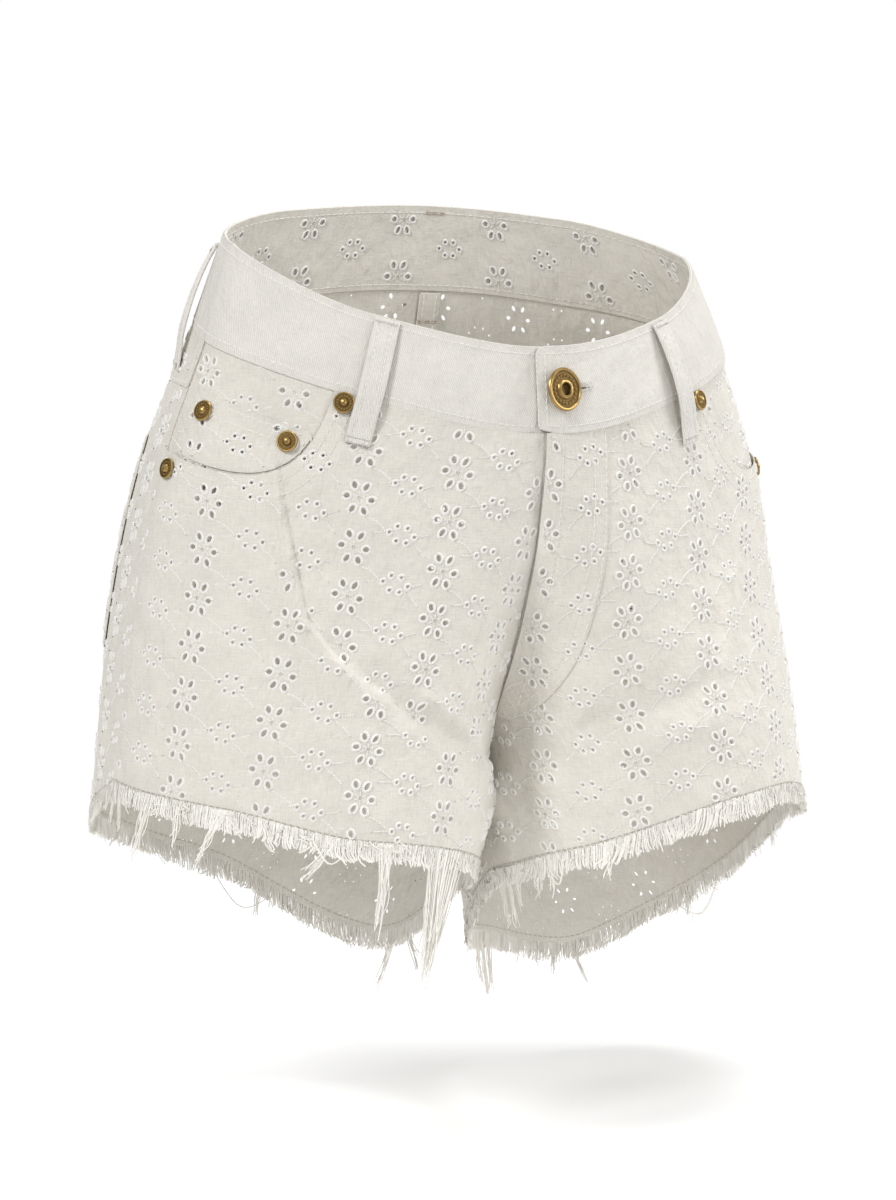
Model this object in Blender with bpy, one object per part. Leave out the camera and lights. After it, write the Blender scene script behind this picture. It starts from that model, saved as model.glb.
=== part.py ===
"""Eyelet shorts: high-rise cut-off five-pocket shorts, worn form, hollow.

Lengths are in millimetres until a mesh is made, which is in metres. +Z is up, the front faces -Y and the
wearer's left is +X. The origin is the middle of the waist, where the wearer holds the garment up.

The garment is four quarters, a front and a back for each side. A point on a quarter has two places:
`across` runs from the outseam (0) to the centre seam or inseam (1), and `down` from the rim of the
waistband (0) to the stay-stitch at the hem (1). Every piece is a wall laid on that form.
"""
import math
from collections import namedtuple

import bpy
import numpy as np
from mathutils import Matrix, Vector
from mathutils.geometry import delaunay_2d_cdt

METRES = 0.001
RIGHT, LEFT = -1, 1
SEAM_GAP = 0.3
LAID_GAP = 0.8
PANEL_WALL = 1.4
WAIST_SEAM = 0.15
CROTCH = 0.88
CHART_WIDTH = 230.0
CHART_HEIGHT = 290.0

# ---------------------------------------------------------------------------------------------- the form

Section = namedtuple("Section", "down side_x side_y side_z corner_z bulge_x bulge_y bulge_z "
                                "under_z inner_x inner_y inner_z turn")
# side: the outseam. corner: halfway from there to the bulge, the row's foremost (rearmost) point.
# under: halfway on to the inner edge. inner: the centre seam, or below the crotch the inseam.
# turn: how far the row has turned inwards where it reaches the inner edge, in degrees.
FRONT_ROWS = (
    Section(0.00, 122, -2, 13, -22, 1, -88, -37, -37, 0, -88, -37, 0),
    Section(0.15, 139, -8, -34, -61, 6, -92, -78, -78, 0, -92, -78, 0),
    Section(0.35, 158, -6, -87, -108, 25, -91, -121, -122, 0, -86, -122, 18),
    Section(0.55, 168, -3, -140, -154, 54, -90, -164, -165, 0, -67, -166, 40),
    Section(0.75, 176, -4, -190, -196, 80, -93, -208, -212, 0, -37, -216, 66),
    Section(0.88, 180, -4, -224, -226, 90, -96, -238, -246, 0, -16, -256, 90),
    Section(1.00, 184, -4, -256, -253, 92, -97, -262, -279, 8, -16, -296, 90),
)
BACK_ROWS = (
    Section(0.00, 122, -2, 13, 34, 1, 50, 39, 39, 0, 50, 39, 0),
    Section(0.15, 139, -8, -34, -12, 10, 58, -4, -4, 0, 58, -4, 0),
    Section(0.35, 158, -6, -87, -78, 36, 84, -72, -72, 0, 80, -72, 6),
    Section(0.55, 168, -3, -140, -142, 66, 98, -143, -141, 0, 90, -140, 20),
    Section(0.75, 176, -4, -190, -205, 84, 97, -216, -216, 0, 68, -214, 50),
    Section(0.88, 180, -4, -224, -250, 92, 95, -272, -272, 0, -16, -256, 90),
    Section(1.00, 184, -4, -256, -295, 100, 93, -325, -336, 8, -16, -296, 90),
)
Quarter = namedtuple("Quarter", "name rows side front fullness")
FRONT_RIGHT = Quarter("front_right", FRONT_ROWS, RIGHT, True, 0.42)
FRONT_LEFT = Quarter("front_left", FRONT_ROWS, LEFT, True, 0.42)
BACK_RIGHT = Quarter("back_right", BACK_ROWS, RIGHT, False, 0.80)
BACK_LEFT = Quarter("back_left", BACK_ROWS, LEFT, False, 0.80)

# The left leg stands a little forward of the right one, which tips its hem down at the back.
STRIDE = 0.19
STRIDE_PIVOT_Y = -70.0
STRIDE_FROM_DOWN = 0.30
STRIDE_FROM_X, STRIDE_FULL_X = 10.0, 115.0

Fold = namedtuple("Fold", "quarter across_1 fall_1 across_2 fall_2 half_width height")
# Soft folds, as ridges (+) and troughs (-) along a line. across is mm from the outseam, or from the
# inner edge when negative, and fall is mm below the waist seam.
FOLDS = (
    Fold(FRONT_RIGHT, 72, 58, 90, 92, 6, 0.9),
    Fold(FRONT_RIGHT, 90, 92, 122, 138, 6, 0.9),
    Fold(FRONT_RIGHT, -48, 168, -78, 132, 7, 1.3),
    Fold(FRONT_RIGHT, -70, 150, -118, 138, 9, -1.5),
    Fold(FRONT_RIGHT, -30, 176, -64, 168, 6, -1.2),
    Fold(FRONT_LEFT, 72, 58, 90, 92, 6, 0.8),
    Fold(FRONT_LEFT, 90, 92, 118, 134, 6, 0.8),
    Fold(FRONT_LEFT, -44, 160, -80, 130, 8, -1.3),
    Fold(FRONT_LEFT, -16, 190, -40, 222, 8, 2.2),
    Fold(FRONT_LEFT, -34, 186, -66, 214, 9, -1.8),
    Fold(BACK_RIGHT, -120, 236, -40, 214, 10, -2.0),
    Fold(BACK_LEFT, -120, 236, -40, 214, 10, -2.0),
)


def smoothstep(x):
    x = np.clip(x, 0.0, 1.0)
    return x * x * (3.0 - 2.0 * x)


def monotone(knots, values, wanted):
    """A smooth curve through each row's knots that never overshoots them, read at the wanted places."""
    gaps = np.diff(knots, axis=1)
    slopes = np.diff(values, axis=1) / gaps
    tangents = np.zeros_like(values, dtype=float)
    tangents[:, 0] = slopes[:, 0]
    tangents[:, -1] = slopes[:, -1]
    for i in range(1, knots.shape[1] - 1):
        before, after = slopes[:, i - 1], slopes[:, i]
        weight_before = 2 * gaps[:, i] + gaps[:, i - 1]
        weight_after = gaps[:, i] + 2 * gaps[:, i - 1]
        same_way = before * after > 0
        safe_before = np.where(same_way, before, 1.0)
        safe_after = np.where(same_way, after, 1.0)
        mean = (weight_before + weight_after) / (weight_before / safe_before + weight_after / safe_after)
        tangents[:, i] = np.where(same_way, mean, 0.0)
    row = np.arange(len(wanted))[:, None]
    span = np.zeros(wanted.shape, dtype=int)
    for i in range(1, knots.shape[1] - 1):
        span += wanted >= knots[:, i:i + 1]
    gap = gaps[row, span]
    u = (wanted - knots[row, span]) / gap
    return ((1 + 2 * u) * (1 - u) ** 2 * values[row, span] + u * (1 - u) ** 2 * gap * tangents[row, span]
            + u * u * (3 - 2 * u) * values[row, span + 1] + u * u * (u - 1) * gap * tangents[row, span + 1])


def section_at(quarter, down):
    """The section table read at each `down`, as columns that stand against a row of points."""
    table = np.array(quarter.rows, dtype=float).T
    knots = np.repeat(table[:1], len(table) - 1, axis=0)
    wanted = np.repeat(down[None, :], len(table) - 1, axis=0)
    columns = monotone(knots, table[1:], wanted)
    return Section(down[:, None], *(column[:, None] for column in columns))


def bezier(start, first, second, end, u):
    return start * (1 - u) ** 3 + 3 * first * (1 - u) ** 2 * u + 3 * second * (1 - u) * u * u + end * u ** 3


ROW_POINTS = 33


def rows_at(quarter, down):
    """Each row of the quarter as a chain of points, and the length along it."""
    s = section_at(quarter, down)
    u = np.linspace(0.0, 1.0, ROW_POINTS)[None, :]
    outward = -1.0 if quarter.front else 1.0
    full = quarter.fullness
    side_x = bezier(s.side_x, s.side_x, s.bulge_x + full * (s.side_x - s.bulge_x), s.bulge_x, u)
    side_y = bezier(s.side_y, s.side_y + full * (s.bulge_y - s.side_y), s.bulge_y, s.bulge_y, u)
    turn = np.radians(s.turn)
    reach = 0.42 * np.hypot(s.bulge_x - s.inner_x, s.bulge_y - s.inner_y)
    inner_x = bezier(s.bulge_x, s.bulge_x - reach, s.inner_x + reach * np.cos(turn), s.inner_x, u)
    inner_y = bezier(s.bulge_y, s.bulge_y, s.inner_y + outward * reach * np.sin(turn), s.inner_y, u)
    x = np.concatenate([side_x, inner_x[:, 1:]], axis=1)
    y = np.concatenate([side_y, inner_y[:, 1:]], axis=1)
    steps = np.hypot(np.diff(x, axis=1), np.diff(y, axis=1))
    along = np.concatenate([np.zeros((len(down), 1)), np.cumsum(steps, axis=1)], axis=1)
    share = along / along[:, -1:]
    bulge = share[:, ROW_POINTS - 1:ROW_POINTS]
    knots = np.concatenate([0 * bulge, 0.5 * bulge, bulge, bulge + 0.52 * (1 - bulge), 0 * bulge + 1], axis=1)
    heights = np.concatenate([s.side_z, s.corner_z, s.bulge_z, s.under_z, s.inner_z], axis=1)
    z = monotone(knots, heights, share)
    leg = smoothstep((s.down - STRIDE_FROM_DOWN) / (1.0 - STRIDE_FROM_DOWN))
    outer = smoothstep((x - STRIDE_FROM_X) / (STRIDE_FULL_X - STRIDE_FROM_X))
    z = z - quarter.side * STRIDE * (y - STRIDE_PIVOT_Y) * leg * outer
    points = np.stack([quarter.side * (x + SEAM_GAP / 2), y, z], axis=-1)
    steps = np.linalg.norm(np.diff(points, axis=1), axis=2)
    along = np.concatenate([np.zeros((len(down), 1)), np.cumsum(steps, axis=1)], axis=1)
    return points, along


def form_points(quarter, across, down):
    across, down = np.broadcast_arrays(np.atleast_1d(np.asarray(across, float)), np.asarray(down, float))
    points, along = rows_at(quarter, down)
    wanted = across * along[:, -1]
    span = np.clip((along[:, 1:] < wanted[:, None]).sum(axis=1), 0, points.shape[1] - 2)
    row = np.arange(len(wanted))
    share = (wanted - along[row, span]) / (along[row, span + 1] - along[row, span])
    return points[row, span] + (points[row, span + 1] - points[row, span]) * share[:, None]


def row_length(quarter, down):
    return rows_at(quarter, np.atleast_1d(np.asarray(down, float)))[1][:, -1]


def spot(quarter, across_mm, fall_mm):
    """The (across, down) of a place in mm: from the outseam, or the inner edge when negative, and below
    the waist seam."""
    levels = np.linspace(0.0, 1.0, 61)
    across = 0.5
    down = 0.4
    for _ in range(5):
        length = row_length(quarter, down)[0]
        across = across_mm / length if across_mm >= 0 else 1.0 + across_mm / length
        column = form_points(quarter, across, levels)
        fallen = np.concatenate([[0.0], np.cumsum(np.linalg.norm(np.diff(column, axis=0), axis=1))])
        fallen -= np.interp(WAIST_SEAM, levels, fallen)
        down = float(np.interp(fall_mm, fallen, levels))
    return across, down


def chart(quarter, across, down):
    return np.stack(np.broadcast_arrays(np.asarray(across) * CHART_WIDTH, np.asarray(down) * CHART_HEIGHT), -1)


def fold_lines(quarter):
    """Each fold's two ends on the chart, with its half width and height."""
    return [(chart(quarter, *spot(quarter, fold.across_1, fold.fall_1)),
             chart(quarter, *spot(quarter, fold.across_2, fold.fall_2)), fold.half_width, fold.height)
            for fold in FOLDS if fold.quarter is quarter]


FOLD_LINES = {quarter.name: fold_lines(quarter)
              for quarter in (FRONT_RIGHT, FRONT_LEFT, BACK_RIGHT, BACK_LEFT)}


def fold_height(quarter, chart_xy):
    total = np.zeros(len(chart_xy))
    for start, end, half_width, height in FOLD_LINES[quarter.name]:
        line = end - start
        share = np.clip(((chart_xy - start) @ line) / (line @ line), 0.0, 1.0)
        away = np.linalg.norm(chart_xy - start - share[:, None] * line, axis=1)
        total += height * np.exp(-(away / half_width) ** 2)
    return total


NUDGE = 0.004


def form_surface(quarter, across, down):
    """Points on the form, folds included, and its outward normals."""
    across = np.asarray(across, float)
    down = np.asarray(down, float)
    level = np.clip(across, NUDGE, 1 - NUDGE)
    height = np.clip(down, NUDGE, 1 - NUDGE)
    along = form_points(quarter, level + NUDGE, down) - form_points(quarter, level - NUDGE, down)
    falling = form_points(quarter, across, height + NUDGE) - form_points(quarter, across, height - NUDGE)
    normals = np.cross(along, falling)
    normals /= np.linalg.norm(normals, axis=1)[:, None]
    outward = 1.0 if (quarter.side == LEFT) == quarter.front else -1.0
    normals *= outward
    points = form_points(quarter, across, down)
    return points + normals * fold_height(quarter, chart(quarter, across, down))[:, None], normals


# --------------------------------------------------------------------------------------------- materials

def material(name, colour, roughness, metallic):
    made = bpy.data.materials.new(name)
    made.use_nodes = True
    shader = made.node_tree.nodes["Principled BSDF"]
    shader.inputs["Base Color"].default_value = (*colour, 1.0)
    shader.inputs["Roughness"].default_value = roughness
    shader.inputs["Metallic"].default_value = metallic
    return made


for leftover in list(bpy.data.objects):
    bpy.data.objects.remove(leftover)
EYELET = material("eyelet_cotton", (0.83, 0.81, 0.76), 0.9, 0.0)
TWILL = material("cotton_twill", (0.86, 0.84, 0.79), 0.85, 0.0)
BRASS = material("aged_brass", (0.62, 0.47, 0.24), 0.35, 1.0)


# -------------------------------------------------------------------------------------------- mesh tools

def add_object(name, points, faces, finish):
    mesh = bpy.data.meshes.new(name)
    mesh.from_pydata([Vector(p) * METRES for p in points], [], [tuple(int(i) for i in f) for f in faces])
    mesh.materials.append(finish)
    mesh.update()
    made = bpy.data.objects.new(name, mesh)
    bpy.context.scene.collection.objects.link(made)
    return made


def inside(loop, points):
    """Which points lie inside the closed loop."""
    x, y = points[:, 0][:, None], points[:, 1][:, None]
    x1, y1 = loop[:, 0][None, :], loop[:, 1][None, :]
    x2, y2 = np.roll(loop[:, 0], -1)[None, :], np.roll(loop[:, 1], -1)[None, :]
    crosses = (y1 > y) != (y2 > y)
    rise = np.where(y2 == y1, 1.0, y2 - y1)
    return (np.count_nonzero(crosses & (x < (x2 - x1) * (y - y1) / rise + x1), axis=1) % 2) == 1


def clear_of(loop, points, distance):
    start, line = loop, np.roll(loop, -1, axis=0) - loop
    offset = points[:, None, :] - start[None, :, :]
    share = np.clip((offset * line).sum(-1) / np.maximum((line * line).sum(-1), 1e-12), 0.0, 1.0)
    away = np.linalg.norm(offset - share[..., None] * line, axis=-1).min(axis=1)
    return away > distance


def cut_cloth(name, outline, holes, step, surface, outer, wall, finish):
    """A wall cut to the outline in the flat chart and laid on the surface: `outer` is how far its outer
    face stands off the form, a number or a value for each chart point."""
    low, high = outline.min(axis=0), outline.max(axis=0)
    grid_x = np.arange(low[0] + step / 2, high[0], step)
    grid_y = np.arange(low[1] + step / 2, high[1], step)
    grid = np.stack(np.meshgrid(grid_x, grid_y), axis=-1).reshape(-1, 2)
    grid = grid[inside(outline, grid)]
    loops = [outline, *holes]
    for loop in loops:
        grid = grid[clear_of(loop, grid, step * 0.4)]
    for hole in holes:
        grid = grid[~inside(hole, grid)]
    edges = []
    total = 0
    for loop in loops:
        edges += [(total + i, total + (i + 1) % len(loop)) for i in range(len(loop))]
        total += len(loop)
    flat = np.concatenate([*loops, grid])
    triangulated = delaunay_2d_cdt([Vector(p) for p in flat], edges, [], 0, 1e-6)
    flat = np.array([tuple(v) for v in triangulated[0]])
    triangles = np.array(triangulated[2])
    middles = flat[triangles].mean(axis=1)
    keep = inside(outline, middles)
    for hole in holes:
        keep &= ~inside(hole, middles)
    triangles = triangles[keep]

    points, normals = surface(flat)
    standoff = outer(flat) if callable(outer) else np.full(len(flat), float(outer))
    outside = points + normals * standoff[:, None]
    inner = points + normals * (standoff - wall)[:, None]
    a, b, c = outside[triangles[:, 0]], outside[triangles[:, 1]], outside[triangles[:, 2]]
    facing = (np.cross(b - a, c - a) * normals[triangles[:, 0]]).sum()
    if facing < 0:
        triangles = triangles[:, ::-1]
    count = len(flat)
    faces = [tuple(t) for t in triangles] + [tuple(t[::-1] + count) for t in triangles]
    directed = {(t[i], t[(i + 1) % 3]) for t in triangles for i in range(3)}
    for start, end in sorted(directed):
        if (end, start) not in directed:
            faces.append((end, start, start + count, end + count))
    used = sorted({i for face in faces for i in face})
    renumber = {old: new for new, old in enumerate(used)}
    everything = np.concatenate([outside, inner])
    return add_object(name, everything[used], [[renumber[i] for i in face] for face in faces], finish)


def quarter_surface(quarter):
    return lambda xy: form_surface(quarter, xy[:, 0] / CHART_WIDTH, xy[:, 1] / CHART_HEIGHT)


def turned(name, profile, centre, axis, segments, finish):
    """A solid turned on its axis from a profile of (radius, height) steps, closed at both ends."""
    frame = Vector(axis).to_track_quat("Z", "Y").to_matrix().to_4x4()
    frame = Matrix.Translation(Vector(centre)) @ frame
    points, faces = [], []
    for radius, height in profile:
        for i in range(segments):
            angle = math.tau * i / segments
            points.append(frame @ Vector((radius * math.cos(angle), radius * math.sin(angle), height)))
    for ring in range(len(profile) - 1):
        for i in range(segments):
            after = (i + 1) % segments
            faces.append((ring * segments + i, ring * segments + after,
                          (ring + 1) * segments + after, (ring + 1) * segments + i))
    faces.append(tuple(range(segments))[::-1])
    faces.append(tuple((len(profile) - 1) * segments + i for i in range(segments)))
    return add_object(name, points, faces, finish)


# ----------------------------------------------------------------------------- waistband and its facing

BAND_OUTER = 1.0
BAND_WALL = 1.3
FACING_OUTER = BAND_OUTER - BAND_WALL - SEAM_GAP
FACING_WALL = 1.0
LAP_LIFT = 1.5
LAP_SINK = -1.4
LAP_OVER = 6.0
LAP_UNDER = 24.0
LAP_FADE = 38.0
BAND_STEP = 13.0
QUARTER_RUN = 175.0
BUTTON_FROM_CENTRE = 10.5
BUTTONHOLE_RADIUS = 4.0
BUTTONHOLE_SLIT = 1.2
BUTTONHOLE_END = 15.0
RIM_GAP = 0.5
BAND_CORNER = 5.0

# The band goes round from the centre front by the wearer's left side, back and right side.
ROUND = (FRONT_LEFT, BACK_LEFT, BACK_RIGHT, FRONT_RIGHT)


def band_surface(xy):
    run = xy[:, 0] / QUARTER_RUN
    down = np.clip(xy[:, 1] / CHART_HEIGHT, 0.0, 1.0)
    points = np.zeros((len(xy), 3))
    normals = np.zeros((len(xy), 3))
    for number in range(-1, 5):
        here = np.floor(run) == number
        if not here.any():
            continue
        quarter = ROUND[number % 4]
        share = run[here] - number
        across = share if number % 2 == 1 else 1.0 - share
        points[here], normals[here] = form_surface(quarter, across, down[here])
    return points, normals


def lap_offset(base):
    """The left end lifts over the right end, which sinks under it."""
    whole = 4 * QUARTER_RUN

    def offset(xy):
        lift = 1.0 - smoothstep((xy[:, 0] - LAP_UNDER - 2) / LAP_FADE)
        sink = smoothstep((xy[:, 0] - whole + LAP_OVER + 2 + LAP_FADE) / LAP_FADE)
        return base + LAP_LIFT * lift + LAP_SINK * sink
    return offset


def buttonhole():
    """A keyhole: a round eye at the button and a slit towards the wearer's left."""
    middle = WAIST_SEAM * CHART_HEIGHT / 2
    opening = math.asin(BUTTONHOLE_SLIT / BUTTONHOLE_RADIUS)
    angles = np.linspace(opening, math.tau - opening, 11)
    eye = [(BUTTON_FROM_CENTRE + BUTTONHOLE_RADIUS * math.cos(a),
            middle + BUTTONHOLE_RADIUS * math.sin(a)) for a in angles]
    slit = [(BUTTON_FROM_CENTRE + BUTTONHOLE_END, middle - BUTTONHOLE_SLIT),
            (BUTTON_FROM_CENTRE + BUTTONHOLE_END, middle + BUTTONHOLE_SLIT)]
    return np.array(eye + slit)


def band_outline():
    top, bottom = RIM_GAP, WAIST_SEAM * CHART_HEIGHT - SEAM_GAP / 2
    start, end = -LAP_OVER, 4 * QUARTER_RUN + LAP_UNDER
    stations = np.arange(start + BAND_CORNER, end, BAND_STEP)
    corner = [(start + BAND_CORNER * (1 - math.cos(a)), top + BAND_CORNER * (1 - math.sin(a)))
              for a in np.linspace(0.0, math.pi / 2, 4)]
    return np.array(corner + [(x, top) for x in stations[1:]] + [(end, top), (end, (top + bottom) / 2)]
                    + [(end, bottom)] + [(x, bottom) for x in stations[:0:-1]]
                    + [(start, bottom), (start, (top + bottom) / 2)])


cut_cloth("waistband", band_outline(), [buttonhole()], BAND_STEP, band_surface,
          lap_offset(BAND_OUTER), BAND_WALL, TWILL)
cut_cloth("waistband_facing", band_outline(), [buttonhole()], BAND_STEP, band_surface,
          lap_offset(FACING_OUTER), FACING_WALL, EYELET)


# -------------------------------------------------------------------------- fronts, facings, coin pocket

PANEL_STEP = 14.5
HEM_STEP = 9.0
SMALL_STEP = 10.0
TOP_EDGE = WAIST_SEAM + SEAM_GAP / 2 / CHART_HEIGHT
SCOOP_DEPTH = 55.5
SCOOP_SQUARENESS = 3.4
SCOOP_REACH = {RIGHT: 77.0, LEFT: 68.0}
FACING_UNDERLAP = 12.0
POCKET_FACING_OUTER = -(PANEL_WALL + LAID_GAP)
COIN_LEFT, COIN_TOP = 11.0, 22.0
COIN_WALL = 1.0
COIN_MARGIN = 1.6


def run_down(quarter, across_mm, start, end, step):
    """Chart points down the outseam (0) or inner edge (1), parted from the seam by across_mm."""
    levels = np.linspace(start, end, max(2, int(abs(end - start) * CHART_HEIGHT / step) + 1))
    share = across_mm / row_length(quarter, levels)
    across = share if across_mm > 0 else 1.0 + share
    return [tuple(p) for p in chart(quarter, across, levels)]


def run_across(quarter, down, start, end, step):
    places = np.linspace(start, end, max(2, int(abs(end - start) * CHART_WIDTH / step) + 1))
    return [tuple(p) for p in chart(quarter, places, down)]


def inner_edge(quarter, start):
    """Down the centre seam to the crotch, then down the inseam, which parts from the other panel's."""
    centre = [(CHART_WIDTH, d * CHART_HEIGHT) for d in np.linspace(start, CROTCH, 14)[:-1]]
    return centre + run_down(quarter, -SEAM_GAP / 2, CROTCH, 1.0, HEM_STEP)


def scoop(quarter, grow):
    """The pocket opening from the waist seam round to the outseam, grown outwards by some mm."""
    reach, depth = SCOOP_REACH[quarter.side] + grow, SCOOP_DEPTH + grow
    power = 2.0 / SCOOP_SQUARENESS
    angles = np.linspace(0.0, math.pi / 2, 181)
    fall = depth * np.sin(angles) ** power
    across = reach * np.abs(np.cos(angles)) ** power
    along = np.concatenate([[0.0], np.cumsum(np.hypot(np.diff(fall), np.diff(across)))])
    even = np.linspace(0.0, along[-1], 17)
    return [spot(quarter, a, f) for a, f in zip(np.interp(even, along, across), np.interp(even, along, fall))]


def front_outline(quarter):
    opening = scoop(quarter, 0.0)
    seam_share = SEAM_GAP / 2 / row_length(quarter, 0.4)[0]
    opening = [chart(quarter, max(a, seam_share), max(d, TOP_EDGE)) for a, d in opening]
    foot = opening[-1][1] / CHART_HEIGHT
    below = run_down(quarter, SEAM_GAP / 2, 1.0, foot, PANEL_STEP)
    top = run_across(quarter, TOP_EDGE, opening[0][0] / CHART_WIDTH, 1.0, PANEL_STEP)
    inner = inner_edge(quarter, TOP_EDGE)
    inner_foot = 1.0 - SEAM_GAP / 2 / row_length(quarter, 1.0)[0]
    hem = run_across(quarter, 1.0, inner_foot, SEAM_GAP / 2 / row_length(quarter, 1.0)[0], HEM_STEP)
    return np.array(top[:-1] + inner + hem[1:] + below[1:-1] + [tuple(p) for p in opening[:0:-1]])


def facing_outline(quarter):
    """The hip-side piece: shows in the scoop and runs on beneath the front's edge."""
    edge = [chart(quarter, a, max(d, TOP_EDGE)) for a, d in scoop(quarter, FACING_UNDERLAP)]
    seam_share = SEAM_GAP / 2 / row_length(quarter, 0.4)[0]
    edge[-1] = chart(quarter, seam_share, edge[-1][1] / CHART_HEIGHT)
    top = run_across(quarter, TOP_EDGE, seam_share, edge[0][0] / CHART_WIDTH, SMALL_STEP)
    side = run_down(quarter, SEAM_GAP / 2, edge[-1][1] / CHART_HEIGHT, TOP_EDGE, SMALL_STEP)
    return np.array(top[:-1] + [tuple(p) for p in edge] + side[1:-1])


def coin_outline():
    """The coin pocket: its top edge and the side that shows, then the scoop's edge cuts it off."""
    quarter = FRONT_RIGHT
    edge = [(a, d) for a, d in scoop(quarter, -COIN_MARGIN)]
    left_share, top_down = spot(quarter, COIN_LEFT, COIN_TOP)
    kept = [(a, d) for a, d in edge if d > top_down + 0.01 and a > left_share + 0.01]
    corner = spot(quarter, SCOOP_REACH[RIGHT] - COIN_MARGIN, COIN_TOP)
    left_foot = spot(quarter, COIN_LEFT + 1.0, SCOOP_DEPTH - COIN_MARGIN - 0.4)
    top = [spot(quarter, a, COIN_TOP) for a in np.linspace(COIN_LEFT, SCOOP_REACH[RIGHT] - COIN_MARGIN, 8)]
    left = [spot(quarter, COIN_LEFT + 0.4, f) for f in np.linspace(SCOOP_DEPTH - 9, COIN_TOP + 8, 3)]
    return np.array([chart(quarter, *p) for p in top[:-1] + [corner] + kept + [left_foot] + left])


for side_name, quarter in (("right", FRONT_RIGHT), ("left", FRONT_LEFT)):
    cut_cloth(f"front_panel_{side_name}", front_outline(quarter), [], PANEL_STEP, quarter_surface(quarter),
              0.0, PANEL_WALL, EYELET)
    cut_cloth(f"pocket_facing_{side_name}", facing_outline(quarter), [], SMALL_STEP,
              quarter_surface(quarter), POCKET_FACING_OUTER, FACING_WALL, EYELET)
cut_cloth("coin_pocket", coin_outline(), [], SMALL_STEP, quarter_surface(FRONT_RIGHT),
          POCKET_FACING_OUTER + LAID_GAP + COIN_WALL, COIN_WALL, EYELET)


# --------------------------------------------------------------------------------------------------- fly

FLY_WIDTH = 34.5
FLY_STRAIGHT = 104.0
FLY_END = 150.0
FLY_WALL = 1.0
FLY_CLEAR = 2.2
FLY_TOE = 4.0


def fly_outline():
    """The fly strip on the left front: straight beside the centre, then the J turns in to it."""
    quarter = FRONT_LEFT
    outer = [spot(quarter, -FLY_WIDTH, fall) for fall in np.linspace(0.5, FLY_STRAIGHT, 9)]
    turn = [spot(quarter, -(FLY_WIDTH - FLY_TOE) * math.cos(a) - FLY_TOE,
                 FLY_STRAIGHT + (FLY_END - FLY_STRAIGHT) * math.sin(a))
            for a in np.linspace(0.2, math.pi / 2, 6)]
    outer = [(a, max(d, TOP_EDGE)) for a, d in outer]
    foot = turn[-1][1]
    levels = np.linspace(foot, TOP_EDGE, 12)
    clear = SEAM_GAP + FLY_CLEAR * smoothstep((levels - 0.35) / 0.3)
    inner = [tuple(p) for p in chart(quarter, 1.0 - clear / row_length(quarter, levels), levels)]
    top = run_across(quarter, TOP_EDGE, inner[-1][0] / CHART_WIDTH, outer[0][0], SMALL_STEP)
    return np.array(top[:-1] + [tuple(chart(quarter, *p)) for p in outer + turn] + inner[:-1])


cut_cloth("fly", fly_outline(), [], SMALL_STEP, quarter_surface(FRONT_LEFT), LAID_GAP + FLY_WALL,
          FLY_WALL, EYELET)


# ------------------------------------------------------------------------------ yokes, backs and pockets

YOKE_AT_SIDE = 24.0
YOKE_AT_CENTRE = 62.0
POCKET_INNER = 50.0
POCKET_TOP = 62.0
POCKET_WIDTH = 122.0
POCKET_SIDE = 104.0
POCKET_POINT = 130.0
POCKET_TAPER = 6.0
POCKET_WALL = 1.2


def yoke_line(quarter, shift):
    """The yoke seam, moved down by some mm: the yoke is deepest at the centre back."""
    places = np.linspace(0.0, 1.0, 17)
    line = []
    for place in places:
        fall = YOKE_AT_SIDE + (YOKE_AT_CENTRE - YOKE_AT_SIDE) * place ** 1.2 + shift
        guess = spot(quarter, place * row_length(quarter, 0.3)[0], fall)
        line.append((place, guess[1]))
    return line


def back_outlines(quarter):
    """The yoke's outline and the back panel's, parted by the seam gap."""
    def edges(levels_from, levels_to, share):
        return run_down(quarter, share, levels_from, levels_to, PANEL_STEP * 0.7)

    above = yoke_line(quarter, -SEAM_GAP / 2)
    below = yoke_line(quarter, SEAM_GAP / 2)
    lengths = row_length(quarter, np.array([d for _, d in above]))
    inset = SEAM_GAP / 2 / lengths[0]
    above = [(min(max(a, inset), 1.0), d) for a, d in above]
    below = [(min(max(a, inset), 1.0), d) for a, d in below]
    top = run_across(quarter, TOP_EDGE, inset, 1.0, PANEL_STEP)
    yoke_inner = [(CHART_WIDTH, y) for _, y in edges(TOP_EDGE, above[-1][1], -SEAM_GAP / 2)]
    yoke_side = edges(above[0][1], TOP_EDGE, SEAM_GAP / 2)
    yoke = (top[:-1] + yoke_inner[:-1] + [tuple(chart(quarter, *p)) for p in above[::-1]]
            + yoke_side[1:-1])
    inner = inner_edge(quarter, below[-1][1])
    foot = SEAM_GAP / 2 / row_length(quarter, 1.0)[0]
    hem = run_across(quarter, 1.0, 1.0 - foot, foot, HEM_STEP)
    side = edges(1.0, below[0][1], SEAM_GAP / 2)
    panel = [tuple(chart(quarter, *p)) for p in below[:-1]] + inner + hem[1:] + side[1:-1]
    return np.array(yoke), np.array(panel)


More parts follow.
